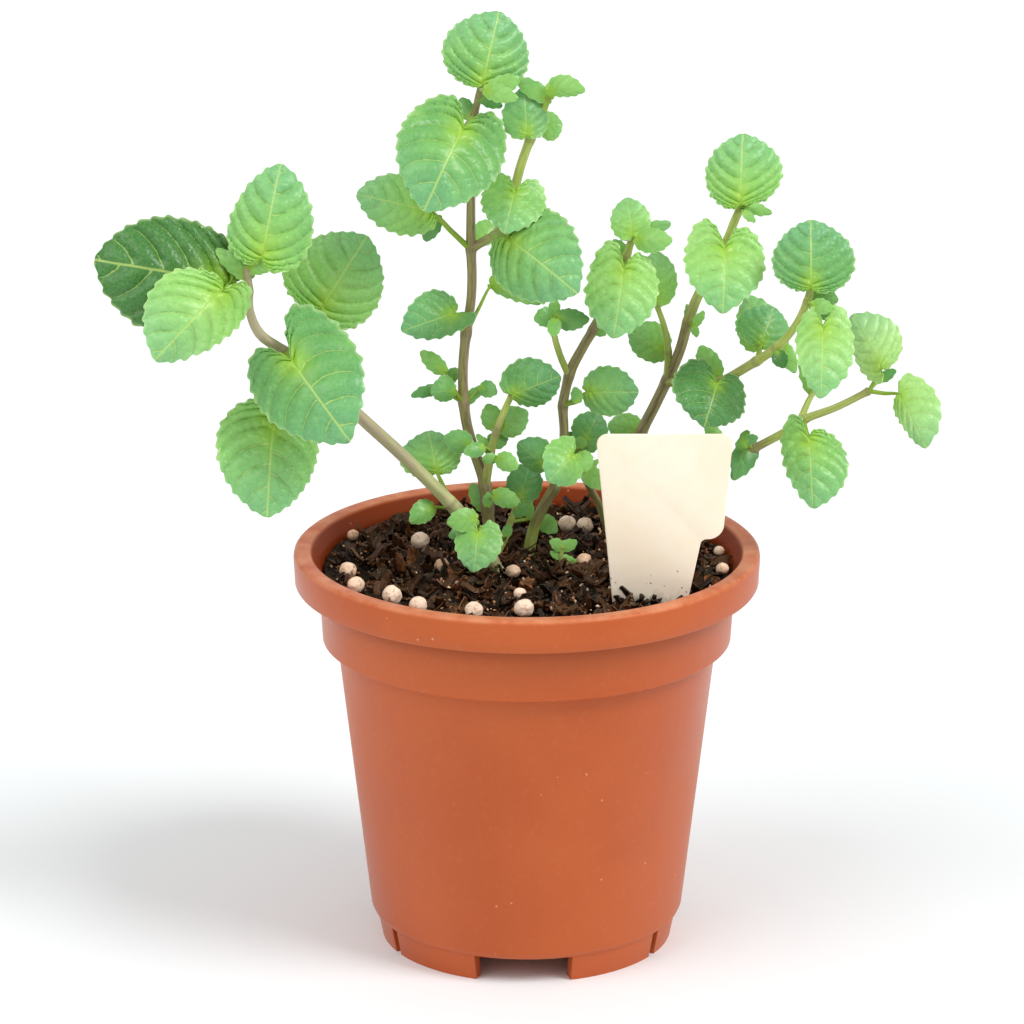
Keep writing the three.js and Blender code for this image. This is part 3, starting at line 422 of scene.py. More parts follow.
def mix_finish(name, darkest, commonest, warmest, roughness):
    """Damp peat and bark: near black to dark brown, each scrap of its own tint, with a fine
    grain that glints where it is wet."""
    made = Finish(name, roughness, 0.35)
    made.set("Specular Tint", (1, 0.74, 0.5, 1))
    speckle = made.grain(1100, 4, 0.7)
    shown = made.noted("tint").parts()[0] + (speckle - 0.5) * 0.7
    made.colour = made.mix(shown.between(0.12, 0.75), darkest, commonest)
    made.tint(shown.between(0.75, 1.05), warmest)
    made.set("Roughness", speckle.spread(roughness - 0.15, roughness + 0.2))
    made.bump(made.grain(1700, 4, 0.65), 0.6, 0.25 * MM)
    return made.done()


bpy.ops.mesh.primitive_grid_add(x_subdivisions=MIX_CELLS, y_subdivisions=MIX_CELLS, size=2)
bed = bpy.context.object
bed.name = "mix_bed"
spots = points_of(bed)
disc = np.full(spots.shape, float(SOIL_LEVEL))
disc[:, :2] = MIX_RADIUS * spots[:, :2] * np.sqrt(1 - spots[:, 1::-1] ** 2 / 2)
bed.data.vertices.foreach_set("co", (disc * MM).ravel())
bpy.ops.object.mode_set(mode="EDIT")
bpy.ops.mesh.select_mode(type="EDGE")
bpy.ops.mesh.select_all(action="DESELECT")
bpy.ops.mesh.select_non_manifold(
    extend=False, use_wire=False, use_boundary=True, use_multi_face=False,
    use_non_contiguous=False, use_verts=False,
)
extrude_rings(MIX_RINGS, MIX_RADIUS, SOIL_LEVEL)
bpy.ops.mesh.edge_face_add()
close_up()
for vertex in bed.data.vertices:
    x, y, z = vertex.co / MM
    if z > SOIL_LEVEL - 1:
        rough_lift = noise.fractal((x * 0.55, y * 0.55, 3.1), 0.7, 2.1, 4)
        vertex.co.z = (soil_height(x, y) - 0.9 + 0.6 * rough_lift) * MM
note(bed.data, "tint", 0.25)
bed.data.materials.append(mix_finish("damp_peat", "140c08", "2c1b11", "4f3220", 0.75))
bpy.ops.object.shade_smooth()
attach(bed, "root")
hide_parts("potting_mix")

# Where each pellet's middle is in the mix, which the scraps keep clear of, and its radius.
PELLET_SPOTS = []
for across, down, width, _ in PELLETS:
    spot = place(across, down, 0)
    sight = spot - VIEW_EYE / MM
    radius = width * PELLET_RADIUS_PER_STEP
    spot = spot + sight * (SOIL_LEVEL + radius * 0.5 - spot[2]) / sight[2]
    PELLET_SPOTS.append((*spot, radius))


def shape_of(obj):
    """The points and faces of a small object, which is then taken away."""
    shape = points_of(obj), [list(face.vertices) for face in obj.data.polygons]
    bpy.data.objects.remove(obj)
    return shape


def crumb():
    """A rough lump with a radius of a millimetre."""
    bpy.ops.mesh.primitive_ico_sphere_add(subdivisions=1, radius=1)
    made = bpy.context.object
    spots = points_of(made)
    low, high = 1 - CRUMB_ROUGHNESS, 1 + CRUMB_ROUGHNESS
    spots *= STREW.uniform(low, high, (len(spots), 1)) * (1, 0.8, 0.65)
    made.data.vertices.foreach_set("co", spots.ravel())
    return shape_of(made)


def sheet(length, width, thickness, columns, rows, jitter, curl):
    """A bent flake, chip or fibre with narrow ends, in millimetres."""
    bpy.ops.mesh.primitive_grid_add(x_subdivisions=columns, y_subdivisions=rows, size=1)
    made = bpy.context.object
    spots = points_of(made)
    spots[:, 1] *= 1 - 1.1 * np.abs(spots[:, 0]) ** 1.6
    spots *= (length, width, 0)
    spots[:, :2] += STREW.uniform(-jitter, jitter, (len(spots), 2)) * width
    x, y, _ = spots.T
    spots[:, 2] = curl * x ** 2 / length + 0.5 * curl * y ** 2 / width
    spots[:, 1] += 0.3 * curl * np.sin(x * 2.2 / length * math.pi)
    made.data.vertices.foreach_set("co", spots.ravel())
    body = made.modifiers.new("body", "SOLIDIFY")
    body.thickness = thickness
    body.offset = 0
    apply_all(made)
    return shape_of(made)


def strewn(name, shapes, finish, spots):
    """Copies of a few small shapes as one piece. A spot is x, y, z, turn, pitch, roll, size
    and tint, in millimetres and radians."""
    points, faces, tints, count = [], [], [], 0
    for i, (x, y, z, turn, pitch, roll, size, tint) in enumerate(spots):
        shape, corners = shapes[i % len(shapes)]
        turned = np.array(Euler((roll, pitch, turn)).to_matrix())
        points.append(size * shape @ turned.T + (x, y, z))
        faces += [[count + corner for corner in face] for face in corners]
        tints.append(np.full((len(shape), 3), tint))
        count += len(shape)
    mesh = bpy.data.meshes.new(name)
    mesh.from_pydata((np.vstack(points) * MM).tolist(), [], faces)
    note(mesh, "tint", np.vstack(tints))
    made = bpy.data.objects.new(name, mesh)
    bpy.context.collection.objects.link(made)
    mesh.materials.append(finish)
    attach(made, "root")
    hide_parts("potting_mix")


def clear_spot(x, y, gap):
    """Whether a scrap can lie here without crossing the label, a stem or a pellet."""
    if abs(y - LABEL_PLACE) < gap and LABEL_SPAN[0] < x < LABEL_SPAN[1]:
        return False
    if any(math.hypot(x - a, y - b) < radius + 1.3 * gap for a, b, _, radius in PELLET_SPOTS):
        return False
    return all(math.hypot(x - a, y - b) > gap + STEM_ROOM for a, b in STEM_FEET)


def random_spots(count, lift, tilt, sizes, tints, gap):
    """Seeded spots on the mix, spread evenly over its disc."""
    spots = []
    while len(spots) < count:
        away, turn = STREWN_RADIUS * math.sqrt(STREW.random()), 2 * math.pi * STREW.random()
        x, y = away * math.cos(turn), away * math.sin(turn)
        size, tint = STREW.uniform(*sizes), STREW.uniform(*tints)
        if clear_spot(x, y, gap):
            z = soil_height(x, y) + STREW.uniform(*lift) * (0.5 if away > EDGE_START else 1)
            pitch, roll = STREW.normal(0, tilt * (0.35 if away > 40 else 1), 2)
            spots.append((x, y, z, 2 * math.pi * STREW.random(), pitch, roll, size, tint))
    return spots


bark = mix_finish("bark", "120a06", "4a2b17", "b5733f", 0.3)
fibre = mix_finish("root_fibre", "3a2417", "7c5234", "b98358", 0.6)
stone = mix_finish("grit", "a8795c", "d9b79a", "f1ddc8", 0.6)
# Pale orange and cream slivers strewn over the top stand in for glints: painted glints.
sliver = mix_finish("bark_sliver", "8a5228", "c98a52", "f2d6ae", 0.4)
# Rows of sheets: length, width, thickness, columns, rows, unevenness and curl.
flakes = [sheet(*row) for row in (
    (5.2, 2.6, 0.5, 5, 3, 0.09, 1.5), (4.2, 3.0, 0.6, 4, 3, 0.1, -1.1),
    (6.4, 2.0, 0.45, 6, 2, 0.1, 1.9), (3.4, 2.4, 0.7, 4, 3, 0.12, 0.8),
    (4.6, 1.7, 0.5, 5, 2, 0.13, -1.6), (3.8, 3.2, 0.5, 4, 4, 0.08, 1.2),
)]
chips = [sheet(5.0, 3.9, 1.0, 6, 5, 0.1, 1.2), sheet(6.0, 3.2, 0.9, 7, 4, 0.11, -1.6)]
crumbs = [crumb() for _ in range(4)]
fibres = [sheet(*row) for row in (
    (6.5, 0.42, 0.22, 7, 1, 0.02, 1.6), (4.8, 0.5, 0.25, 6, 1, 0.03, -2.2),
    (3.6, 0.34, 0.2, 5, 1, 0.03, 1.2),
)]
# Rows of what is strewn: name, shapes, material, count, lift, tilt, sizes, tints and gap.
for name, shapes, finish, *row in (
    ("bark_flakes", flakes, bark, 560, (-0.6, 0.9), 0.42, (0.7, 1.35), (0.0, 0.85), 1.0),
    ("bark_chips", chips, bark, 46, (0.2, 1.0), 0.2, (0.8, 1.5), (0.2, 0.75), 2.8),
    ("peat_crumbs", crumbs, bark, 1700, (-0.6, 1.0), 1.5, (0.3, 1.0), (0.0, 0.9), 0.4),
    ("root_fibres", fibres, fibre, 240, (0.2, 1.5), 0.3, (0.4, 1.0), (0.1, 0.8), 1.2),
    # Painted glints: the pale slivers.
    ("bark_slivers", flakes, sliver, 170, (0.7, 1.8), 0.5, (0.126, 0.252), (0.0, 1.0), 0.9),
    ("grit", crumbs, stone, 330, (0.5, 1.7), 1.5, (0.22, 0.62), (0.1, 1.0), 0.9),
):
    strewn(name, shapes, finish, random_spots(*row))
heap = []
for _ in range(HEAPED_CRUMBS):
    x = STREW.uniform(22, 39)
    size = STREW.uniform(0.4, 1.15)
    z = soil_height(x, LABEL_PLACE - 1.6) + STREW.uniform(-0.4, 0.4 + 2.4 * (x < 32))
    turns = (6.28 * STREW.random(), *STREW.normal(0, 1, 2))
    heap.append((x, LABEL_PLACE - 0.6 - size, z, *turns, size, 0.2))
strewn("crumbs_at_label", crumbs, bark, heap)

# Slow-release pellets and perlite grains, pressed half into the top of the mix. Each is a
# pale clay-like ball with small dents and a skin of its own tint.


def joined(pieces):
    select(*pieces)
    if len(pieces) > 1:
        bpy.ops.object.join()
    return pieces[0]


balls = []
for (across, down, _, tint), (x, y, _, radius) in zip(PELLETS, PELLET_SPOTS):
    bpy.ops.mesh.primitive_ico_sphere_add(subdivisions=4, radius=1)
    ball = bpy.context.object
    squat = STREW.uniform(0.86, 1.0)
    for vertex in ball.data.vertices:
        near = vertex.co * 1.6 + Vector((across, down, 0))
        dents = 0.09 * noise.fractal(near, 0.8, 2.0, 3)
        pits = 0.06 * min(0, noise.noise(vertex.co * 4.2 + Vector((down, across, 0))) + 0.25)
        vertex.co *= radius * (1 + dents + pits)
        vertex.co.z *= squat
    ball.data.transform(Matrix.Translation((x, y, soil_height(x, y) + radius * 0.85)))
    ball.data.transform(Matrix.Scale(MM, 4))
    note(ball.data, "tint", tint)
    balls.append(ball)
pellets = joined(balls)
pellets.name = "pellets"
bpy.ops.object.shade_smooth()
shell = Finish("pellet_shell", 0.6, 0.3)
stain = shell.grain(420, 4, 0.6).between(0.4, 0.72)
shell.colour = shell.mix(shell.noted("tint").parts()[0], "f4bd92", "ffe8d2")
shell.tint(stain * 0.35, "b47c54")
cracks = shell.seams(330).between(0.035, 0.012) * stain
shell.tint(cracks * 0.85, "5a3820")
freckles = shell.cells(1500)[0].between(0.22, 0.1)
shell.tint(freckles * 0.25, "8a5c36")
shell.bump(shell.grain(1400, 4, 0.6), 0.4, 0.15 * MM)
pellets.data.materials.append(shell.done())
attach(pellets, "root")
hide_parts("potting_mix")

# The plant label: a flag of cream plastic card on a narrowing foot that stands in the mix,
# punched from one sheet with rounded corners, a soft edge and some mix splashed on its foot.
LABEL_THICKNESS = 1.2
LABEL_SOFTNESS = 0.28
# Rows of its corners: across, height and rounding in millimetres.
LABEL_CORNERS = [
    (27, 80, 2), (21.6, 99, 1), (17, 144.6, 3), (51.3, 144.6, 3), (48.9, 117.4, 3.4),
    (43.6, 117.2, 1.2), (40, 99, 1), (35, 80, 2),
]
front = (LABEL_PLACE - LABEL_THICKNESS / 2) * MM
bpy.ops.mesh.primitive_circle_add(vertices=len(LABEL_CORNERS), radius=0.02, fill_type="NGON")
card = bpy.context.object
card.name = "blank_plant_label"
for vertex, (across, height, _) in zip(card.data.vertices, reversed(LABEL_CORNERS)):
    vertex.co = (across * MM, front, height * MM)
card.data.update()
for across, height, rounding in LABEL_CORNERS:
    corner = Vector((across * MM, front, height * MM))
    pick(card, "VERT", lambda vertex: (vertex.co - corner).length < 0.01 * MM)
    bpy.ops.mesh.bevel(offset=rounding * MM, segments=10, affect="VERTICES", profile=0.5)
bpy.ops.mesh.select_all(action="SELECT")
slab = {"value": (0, LABEL_THICKNESS * MM, 0)}
bpy.ops.mesh.extrude_region_move(TRANSFORM_OT_translate=slab)
close_up()
soften_edges(card, LABEL_SOFTNESS, 4, 50)
select(card)
bpy.ops.object.shade_smooth_by_angle(angle=math.radians(35))
cream = Finish("cream_card", 0.55, 0.35)
up = cream.where.parts()[2]
cream.colour = cream.mix(cream.grain(55, 3).between(0.38, 0.68), "f7ecd6", "f5e6cc")
faint = cream.grain(420, 3, 0.6).between(0.45, 0.8)
cream.tint(faint * 0.12, "ecd2a4")
low = up.between(0.125, 0.103)
away, lot = cream.cells(900)
speck = away.between(0.26, 0.14) * (lot + low * 0.22).between(1.08, 1.1)
cream.tint(speck * 0.8, "75502f")
mud = up.between(0.106, 0.1005) * cream.grain(330, 4, 0.7).between(0.5, 0.6)
cream.tint(mud * 0.3, "8a6547")
cream.bump(cream.grain(700, 4, 0.6), 0.1, 0.08 * MM)
card.data.materials.append(cream.done())
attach(card, "root")
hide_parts("plant_label")

# The long stem that leans left, with its leaves and the sprig at its foot. Its canes are
# square and woody below and green at their tips. Leaves sit in pairs at swollen joints.
ROOT_DEPTH = 12
MERGE_GAP = 0.004 * MM
LEAF_THICKNESS = 0.36 * MM
# A half of a blade is its width, how far its lobe reaches back and how far out it is widest.
# Most halves have the usual lobe and belly, and their rows give only the width.
USUAL_LOBE, USUAL_BELLY = 0.1, 0.4
# Shares of a leaf's size: how deep its teeth are cut, how high its skin is pleated between
# the side veins, and how much its edge droops and waves.
TOOTH_DEPTH = 0.12
PLEAT_HEIGHT = 0.018
EDGE_DROOP = 0.16
EDGE_WAVE = 0.018
VEIN_SWEEP = 0.5
FACE_SIZE = 0.5
QUILT_SCALE = 0.46
QUILT_HEIGHT = 0.17
GROOVE_DEPTH = 0.16
TWIG_SIDES, TWIG_SPACING = 8, 0.9
CANE_SIDES, CANE_SPACING = 20, 0.6
# Rows of a stalk's way under the blade: how far along it is, and how thick.
KEEL = ((0.12, 0.5), (0.3, 0.36), (0.5, 0.27), (0.7, 0.2), (0.88, 0.12))
draw = np.random.default_rng(5)


def ramp(value, low, high):
    """0 where value is at low, 1 where it is at high, and smooth between them."""
    part = np.clip((value - low) / (high - low), 0, 1)
    return part * part * (3 - 2 * part)


def new_grid(columns, rows):
    """A flat grid, and how far across (-1 to 1) and along (0 to 1) each of its points is."""
    bpy.ops.mesh.primitive_grid_add(x_subdivisions=columns, y_subdivisions=rows, size=2)
    made = bpy.context.object
    spots = points_of(made)
    return made, spots[:, 0], (spots[:, 1] + 1) / 2


def reshape(obj, points, **notes):
    """Moves a mesh's points to new places in millimetres, and notes values on them."""
    obj.data.vertices.foreach_set("co", (points * MM).ravel())
    for name, columns in notes.items():
        columns = [np.broadcast_to(column, len(points)) for column in columns]
        note(obj.data, name, np.stack(columns, axis=1))
    obj.data.update()


def merged(pieces):
    """Joins pieces of a plant, merges points that meet, and gives the whole its three skins."""
    whole = joined(pieces)
    bpy.ops.object.mode_set(mode="EDIT")
    bpy.ops.mesh.select_all(action="SELECT")
    bpy.ops.mesh.remove_doubles(threshold=MERGE_GAP)
    bpy.ops.object.mode_set(mode="OBJECT")
    for skin in SKINS:
        whole.data.materials.append(skin)
    return whole


def smooth_line(rows, spacing):
    """Evenly spaced x, y, z, radius rows on a centripetal Catmull-Rom line through rows."""
    rows = np.array(rows, float)
    ends = np.vstack([2 * rows[0] - rows[1], rows, 2 * rows[-1] - rows[-2]])
    dense = []
    t = np.linspace(0, 1, 17)[:, None]
    for i in range(len(rows) - 1):
        a, b, c, d = ends[i:i + 4, :3]
        before, here, after = (
            max(np.linalg.norm(q - p), 1e-4) ** 0.5 for p, q in ((a, b), (b, c), (c, d)))
        leave = (b - a) / before - (c - a) / (before + here) + (c - b) / here
        arrive = (c - b) / here - (d - b) / (here + after) + (d - c) / after
        bend = (t ** 3 - 2 * t * t + t) * leave + (t ** 3 - t * t) * arrive
        spots = (2 * t ** 3 - 3 * t * t + 1) * b + (3 * t * t - 2 * t ** 3) * c + bend * here
        radii = rows[i, 3] + (rows[i + 1, 3] - rows[i, 3]) * t
        dense.append(np.hstack([spots, radii])[0 if i == 0 else 1:])
    dense = np.vstack(dense)
    steps = np.linalg.norm(np.diff(dense[:, :3], axis=0), axis=1)
    run = np.concatenate([[0], np.cumsum(steps)])
    even = np.linspace(0, run[-1], max(3, int(run[-1] / spacing)) + 1)
    return even, np.stack([np.interp(even, run, dense[:, k]) for k in range(4)], axis=1)


def cane(rows, sides, spacing, joints, greens, pale):
    """A closed tube along rows of x, y, z, radius, a little square and swollen at its joints.
    Greens say how green it is from its start to its end, and pale how pale it is."""
    run, line = smooth_line(rows, spacing)
    heading = np.gradient(line[:, :3], axis=0)
    heading /= np.linalg.norm(heading, axis=1)[:, None]
    outward = [np.cross(heading[0], (0.3, 0.2, 0.93))]
    for way in heading:
        turned = outward[-1] - way * (outward[-1] @ way)
        outward.append(turned / np.linalg.norm(turned))
    outward = np.array(outward[1:])
    aside = np.cross(heading, outward)
    radii = line[:, 3]
    near = np.zeros(len(line))
    for joint in joints:
        near = np.maximum(near, np.exp(-np.sum((line[:, :3] - joint) ** 2, axis=1) / 1.9))
    tube, x, y = new_grid(sides, len(line) + 1)
    ring = np.rint(y * (len(line) + 1)).astype(int)
    open_ring = (ring > 0) & (ring < len(line) + 1)
    at = np.clip(ring - 1, 0, len(line) - 1)
    turn = math.pi * x
    square = np.cos(4 * turn)
    swell = 1 + 0.2 * near[at] + 0.08 * square * (1 - near[at])
    reach = (open_ring * radii[at] * swell)[:, None]
    spots = line[at, :3] + reach * (
        np.cos(turn)[:, None] * outward[at] + np.sin(turn)[:, None] * aside[at])
    spots += ((ring > len(line)) * radii[at] * 0.5)[:, None] * heading[at]
    green = np.interp(run[at] / run[-1], np.linspace(0, 1, len(greens)), greens)
    reshape(
        tube, spots,
        stem_form=(square, near[at], 0),
        stem_age=(green, pale, 0),
        stem_grain=(radii[at] * np.cos(turn), radii[at] * np.sin(turn), run[at] * 0.07),
    )
    return tube


def half_outline(turn, width, lobe, belly):
    """The smooth edge of half a blade, from its base at turn 0 to its tip at turn pi."""
    low = turn < math.pi / 2
    sine = np.clip(np.sin(turn), 0, 1)
    rise = 1 - np.exp(-turn / (0.05 + 0.35 * lobe))
    back = np.where(low, 1.1 * lobe * rise * np.clip(np.cos(turn), 0, 1) ** 0.8, 0)
    reach = np.where(low, belly * (1 - np.cos(turn)), belly - (1 - belly) * np.cos(turn))
    spread = np.where(low, sine ** (1 - 0.4 * lobe), sine ** (1.3 + 0.8 * lobe))
    return reach - back, width * spread


def leaf(node, base, tip, lean, left, right, arch, tone):
    """A leaf's blade with toothed edge, sunk veins and the skin quilted between them, and the
    rows of its stalk, which runs on under the blade as its midrib."""
    left, right = (
        half if isinstance(half, tuple) else (half, USUAL_LOBE, USUAL_BELLY)
        for half in (left, right))
    joint = place(*node)
    start = place(*base)
    size = left[0] + right[0]
    gap = np.linalg.norm(joint - start)
    stalkless = size < 21 and gap < 3.5
    if stalkless:
        base = (1.05 * node[0] - 0.05 * tip[0], 1.05 * node[1] - 0.05 * tip[1], node[2])
        start = place(*base)
    step = np.linalg.norm(place(base[0] + 1, base[1], base[2]) - start)
    flat_tip = base[2] + (base[1] - tip[1]) * step * math.sin(VIEW_TILT)
    forward = place(tip[0], tip[1], flat_tip - lean * math.cos(VIEW_TILT)) - start
    length = np.linalg.norm(forward)
    forward /= length
    face = (AWAY @ forward) * forward - AWAY
    face /= np.linalg.norm(face)
    aside = np.cross(forward, face)
    widest = max(left[0], right[0]) * step

    teeth = int(np.clip(round(3 + size / 8.5), 3, 15))
    veins = 5.0 if size > 50 else 4.3 if size > 25 else 3.0
    columns = 2 * int(np.clip(round(widest / FACE_SIZE), 3, 24))
    made, u, r = new_grid(columns, teeth * (6 if size > 40 else 5 if size > 20 else 4))
    far = np.abs(u)
    along = rib = r ** 1.25
    across = fold = np.zeros(len(u))
    luck = draw.uniform(0, 1, 4)
    fine = np.linspace(0, math.pi, 400)
    for sign, (width, lobe, belly) in ((-1, left), (1, right)):
        half = (width * step, lobe, belly)
        reach, spread = half_outline(fine, *half)
        way = np.stack([np.gradient(reach * length), np.gradient(spread)])
        pace = np.maximum(np.hypot(*way), 1e-9)
        run = np.cumsum(pace)
        run = (run - run[0]) / (run[-1] - run[0])
        depth = (TOOTH_DEPTH + 0.06 * ramp(size, 30, 70)) * np.sum(pace) / teeth
        depth *= 1 + 0.35 * np.sin(np.floor(r * teeth) * 2.4 + 7 * luck[1] + sign)
        tooth = (np.sin(math.pi * ((r * teeth) % 1) ** 2.1) - 0.4) * depth
        tooth *= ramp(r, 0.02, 0.16) * (1 - 0.55 * ramp(r, 0.85, 1))
        tooth *= far ** 5
        edge_reach, edge_spread = half_outline(np.interp(r, run, fine), *half)
        out_reach = rib + (edge_reach - rib) * far
        out_reach += tooth * np.interp(r, run, -way[1] / pace) / length
        out_spread = edge_spread * far + tooth * np.interp(r, run, way[0] / pace)
        narrowing = math.sqrt(max((widest / half[0]) ** 2 - 1, 0))
        mine = u * sign > 0
        along = np.where(mine, out_reach, along)
        across = np.where(mine, out_spread, across)
        fold = np.where(mine, min(0.55, 0.5 * narrowing), fold)

    sweep = VEIN_SWEEP * far ** 1.15
    phase = veins * (r - sweep) / (1 - sweep) + 0.4 * (u > 0) + luck[0]
    between_veins = np.abs(np.sin(math.pi * phase)) ** 0.7
    bend = np.where(along > 0, 4 * along * (1 - along), -0.4 * along)
    rise = length * arch * bend - EDGE_DROOP * widest * (np.abs(across) / widest) ** 1.8
    rise -= fold * across
    bulge = length * (PLEAT_HEIGHT + 0.032 * ramp(size, 30, 80)) * (1 - 0.75 * ramp(r, 0.7, 1))
    rise += bulge * (between_veins - 0.6) * ramp(far, 0, 0.25) * (1 - 0.5 * far ** 3)
    wave = np.sin(2 * math.pi * (r * 1.7 + luck[1]) + 1.5 * u) * far ** 3
    rise += EDGE_WAVE * length * wave
    rise -= min(GROOVE_DEPTH, 0.02 * widest) * np.exp(-(across / 0.5) ** 2)
    x = across * np.sign(u)
    y = along * length
    quilt = np.zeros(len(u))
    if size > 25:
        layer = np.full(len(u), 40 * luck[2])
        for i, spot in enumerate(zip(x * QUILT_SCALE, y * QUILT_SCALE, layer)):
            near, next_near = noise.voronoi(spot)[0][:2]
            quilt[i] = min(1.0, (next_near - near) / 0.5)
        rise += QUILT_HEIGHT * ramp(size, 20, 90) * (quilt - 0.5) * ramp(far, 0.03, 0.2)
    spots = start + np.outer(y, forward) + np.outer(x, aside) + np.outer(rise, face)
    glow = np.exp(-((y / length - 0.03) / 0.22) ** 2 - (x / length / 0.16) ** 2)
    reshape(
        made, spots,
        vein_place=(phase, u, y / length),
        leaf_place=(x, y, 60 * luck[3]),
        leaf_tone=(tone, glow, quilt),
        leaf_size=(size, 0, 0),
    )

    thick = float(np.clip(size * 0.011, 0.45, 1.0))
    keel = []
    for part, share in KEEL:
        radius = thick * share
        height = 4 * length * arch * part * (1 - part) - 0.12 - radius
        keel.append((*(start + forward * part * length + face * height), radius))
    if stalkless:
        return made, [(*(start - face * 0.2), 0.3)] + keel[1:]
    lobed = max(left[1], right[1]) > 0.2
    near_base = start - face * thick * (1.1 if lobed else 0.3)
    sunk = joint + (joint - near_base) / max(gap, 0.1) * 0.3
    if gap > 6:
        bow = (sunk + near_base) / 2 + face * gap * (-0.1 if lobed else 0.08)
        return made, [(*sunk, thick * 1.15), (*bow, thick), (*near_base, thick * 0.65)] + keel
    return made, [(*sunk, thick), (*near_base, thick * 0.6)] + keel


def leaf_finish(name, colours, vein_colour, vein_strength, roughness, sheen_share):
    """A leaf's skin: three greens from old to young leaves, whose tone also darkens leaves in
    painted shade, a bluish painted sheen toward the tip, painted shade in the hollows and beside
    the veins, pale veins and rim, a fine net between the veins, a lime glow where the stalk
    comes in, and white flecks."""
    made = Finish(name, roughness, 0.4)
    made.where = made.noted("leaf_place")
    x = made.where.parts()[0]
    phase, u, along = made.noted("vein_place").parts()
    tone, glow, quilt = made.noted("leaf_tone").parts()
    size = made.noted("leaf_size").parts()[0]
    old, grown, fresh = colours
    shown = tone + (made.grain(0.16, 3) - 0.5) * 0.55
    made.colour = made.mix(shown.between(0.05, 0.55), old, grown)
    made.tint(shown.between(0.5, 1.0), fresh)
    made.tint(shown.between(1.0, 1.5), "b4e28a")
    # Painted sheen: larger, older leaves are tinted bluish toward the tip.
    painted_sheen = along.between(0.2, 1.0) * size.between(15, 50)
    made.tint(painted_sheen * (tone.between(0.0, 0.7) * sheen_share), "74b88c")
    dull = made.grain(1.3, 4, 0.6).between(0.42, 0.7)
    made.tint(dull * 0.14, old)

    far = abs(u)
    wobble = (made.grain(0.7) - 0.5) * 0.14
    off = (phase + wobble).calc("PINGPONG", 0.5) / far.spread(0.038, 0.014)
    vein = off.between(1.6, 0.4) * far.between(1.0, 0.75)
    rib = (abs(x) / size).between(0.004, 0.0014)
    net = made.seams(0.9).between(0.09, 0.01) * 0.2
    lines = vein.calc("MAXIMUM", rib).calc("MAXIMUM", net)
    # Painted shade: darker green in the hollows between the quilted cells and beside the sunk
    # veins.
    made.tint(quilt.between(0.3, 0.0) * 0.14, old)
    made.tint(off.between(5.0, 0.5) * 0.16, old)
    made.tint(lines * size.between(-10, 60) * vein_strength, vein_colour)
    made.tint(far.between(0.93, 1.0) * 0.45, "b9d68c")
    made.tint(glow * 0.8, "98c436")
    away, lot = made.cells(0.62)
    fleck = away.between(0.13, 0.06) * lot.calc("GREATER_THAN", 0.72)
    made.tint(fleck * tone.between(0.9, 0.1) * 0.6, "e6eddc")
    height = made.grain(4.5) * 0.35 + quilt.between(0.0, 0.7) * 0.7 - lines
    made.bump(height, 0.5, 0.12 * MM)
    return made.done()


LEAF_TOP = leaf_finish("leaf_top", ("3d7634", "66a65c", "90cb66"), "c2dc74", 0.52, 0.32, 0.5)
LEAF_UNDER = leaf_finish("leaf_under", ("7ba36c", "90b67a", "accc88"), "c6d8a8", 0.6, 0.6, 0.1)

# Stem skin: grey-brown wood with green ridges, pale at the foot and green when young.
skin = Finish("cane_skin", 0.55, 0.35)
square, joint, _ = skin.noted("stem_form").parts()
green, pale, _ = skin.noted("stem_age").parts()
streak = skin.grain(2.4, 4, 0.65, skin.noted("stem_grain"))
ridge = square.between(0.0, 0.85)
streaky = streak.between(0.35, 0.7)
dry = skin.mix(streaky, "a28d76", "745f4a")
rind = skin.mix(streaky, "a09c62", "7c7840")
leafy = skin.mix(streak.between(0.3, 0.7), "c2d070", "a2b850")
leafy = skin.mix(ridge * 0.25, leafy, "b5ac80")
leafy = skin.mix(green.between(1.0, 1.1), leafy, "8fae3c")
patch = (skin.grain(90) - 0.5) * 0.7
share = (green + patch).between(0.4, 0.85)
skin.colour = skin.mix(share, skin.mix(ridge, rind, dry), leafy)
skin.tint(pale, "d2c6ac")
skin.tint(joint.between(0.55, 0.95) * 0.35, "7d6a58")
skin.bump(streak, 0.35, 0.15 * MM)
skin.set("Sheen Weight", 0.12)
skin.set("Sheen Roughness", 0.35)
SKINS = [LEAF_TOP, LEAF_UNDER, skin.done()]


def leafy_stem(name, node, canes, leaves):
    """One stem with its canes and leaves, as one piece that stands for one node. A cane is its
    rows, whether it is rooted, its greens and its paleness."""
    joints = [place(*row[0]) for row in leaves] + [place(*rows[0][:3]) for rows, *_ in canes]
    grown = [leaf(*row) for row in leaves]
    blades = merged([blade for blade, _ in grown])
    depth = blades.modifiers.new("depth", "SOLIDIFY")
    depth.thickness = LEAF_THICKNESS
    depth.offset = 0
    depth.material_offset = 1
    apply_all(blades)
    tubes = [cane(rows, TWIG_SIDES, TWIG_SPACING, [], (1.1, 1.3), 0) for _, rows in grown]
    for rows, rooted, greens, pale in canes:
        line = [(*place(*row[:3]), row[3]) for row in rows]
        if rooted:
            foot, knee = np.array(line[0]), np.array(line[1])
            root = foot - (knee - foot) * ROOT_DEPTH / (knee - foot)[2]
            line.insert(0, (*root[:3], foot[3]))
        tubes.append(cane(line, CANE_SIDES, CANE_SPACING, joints, greens, pale))
    wood = merged(tubes)
    wood.data.polygons.foreach_set("material_index", [2] * len(wood.data.polygons))
    plant = joined([blades, wood])
    plant.name = name
    bpy.ops.object.shade_smooth_by_angle(angle=math.radians(50))
    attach(plant, "root")
    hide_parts(node)


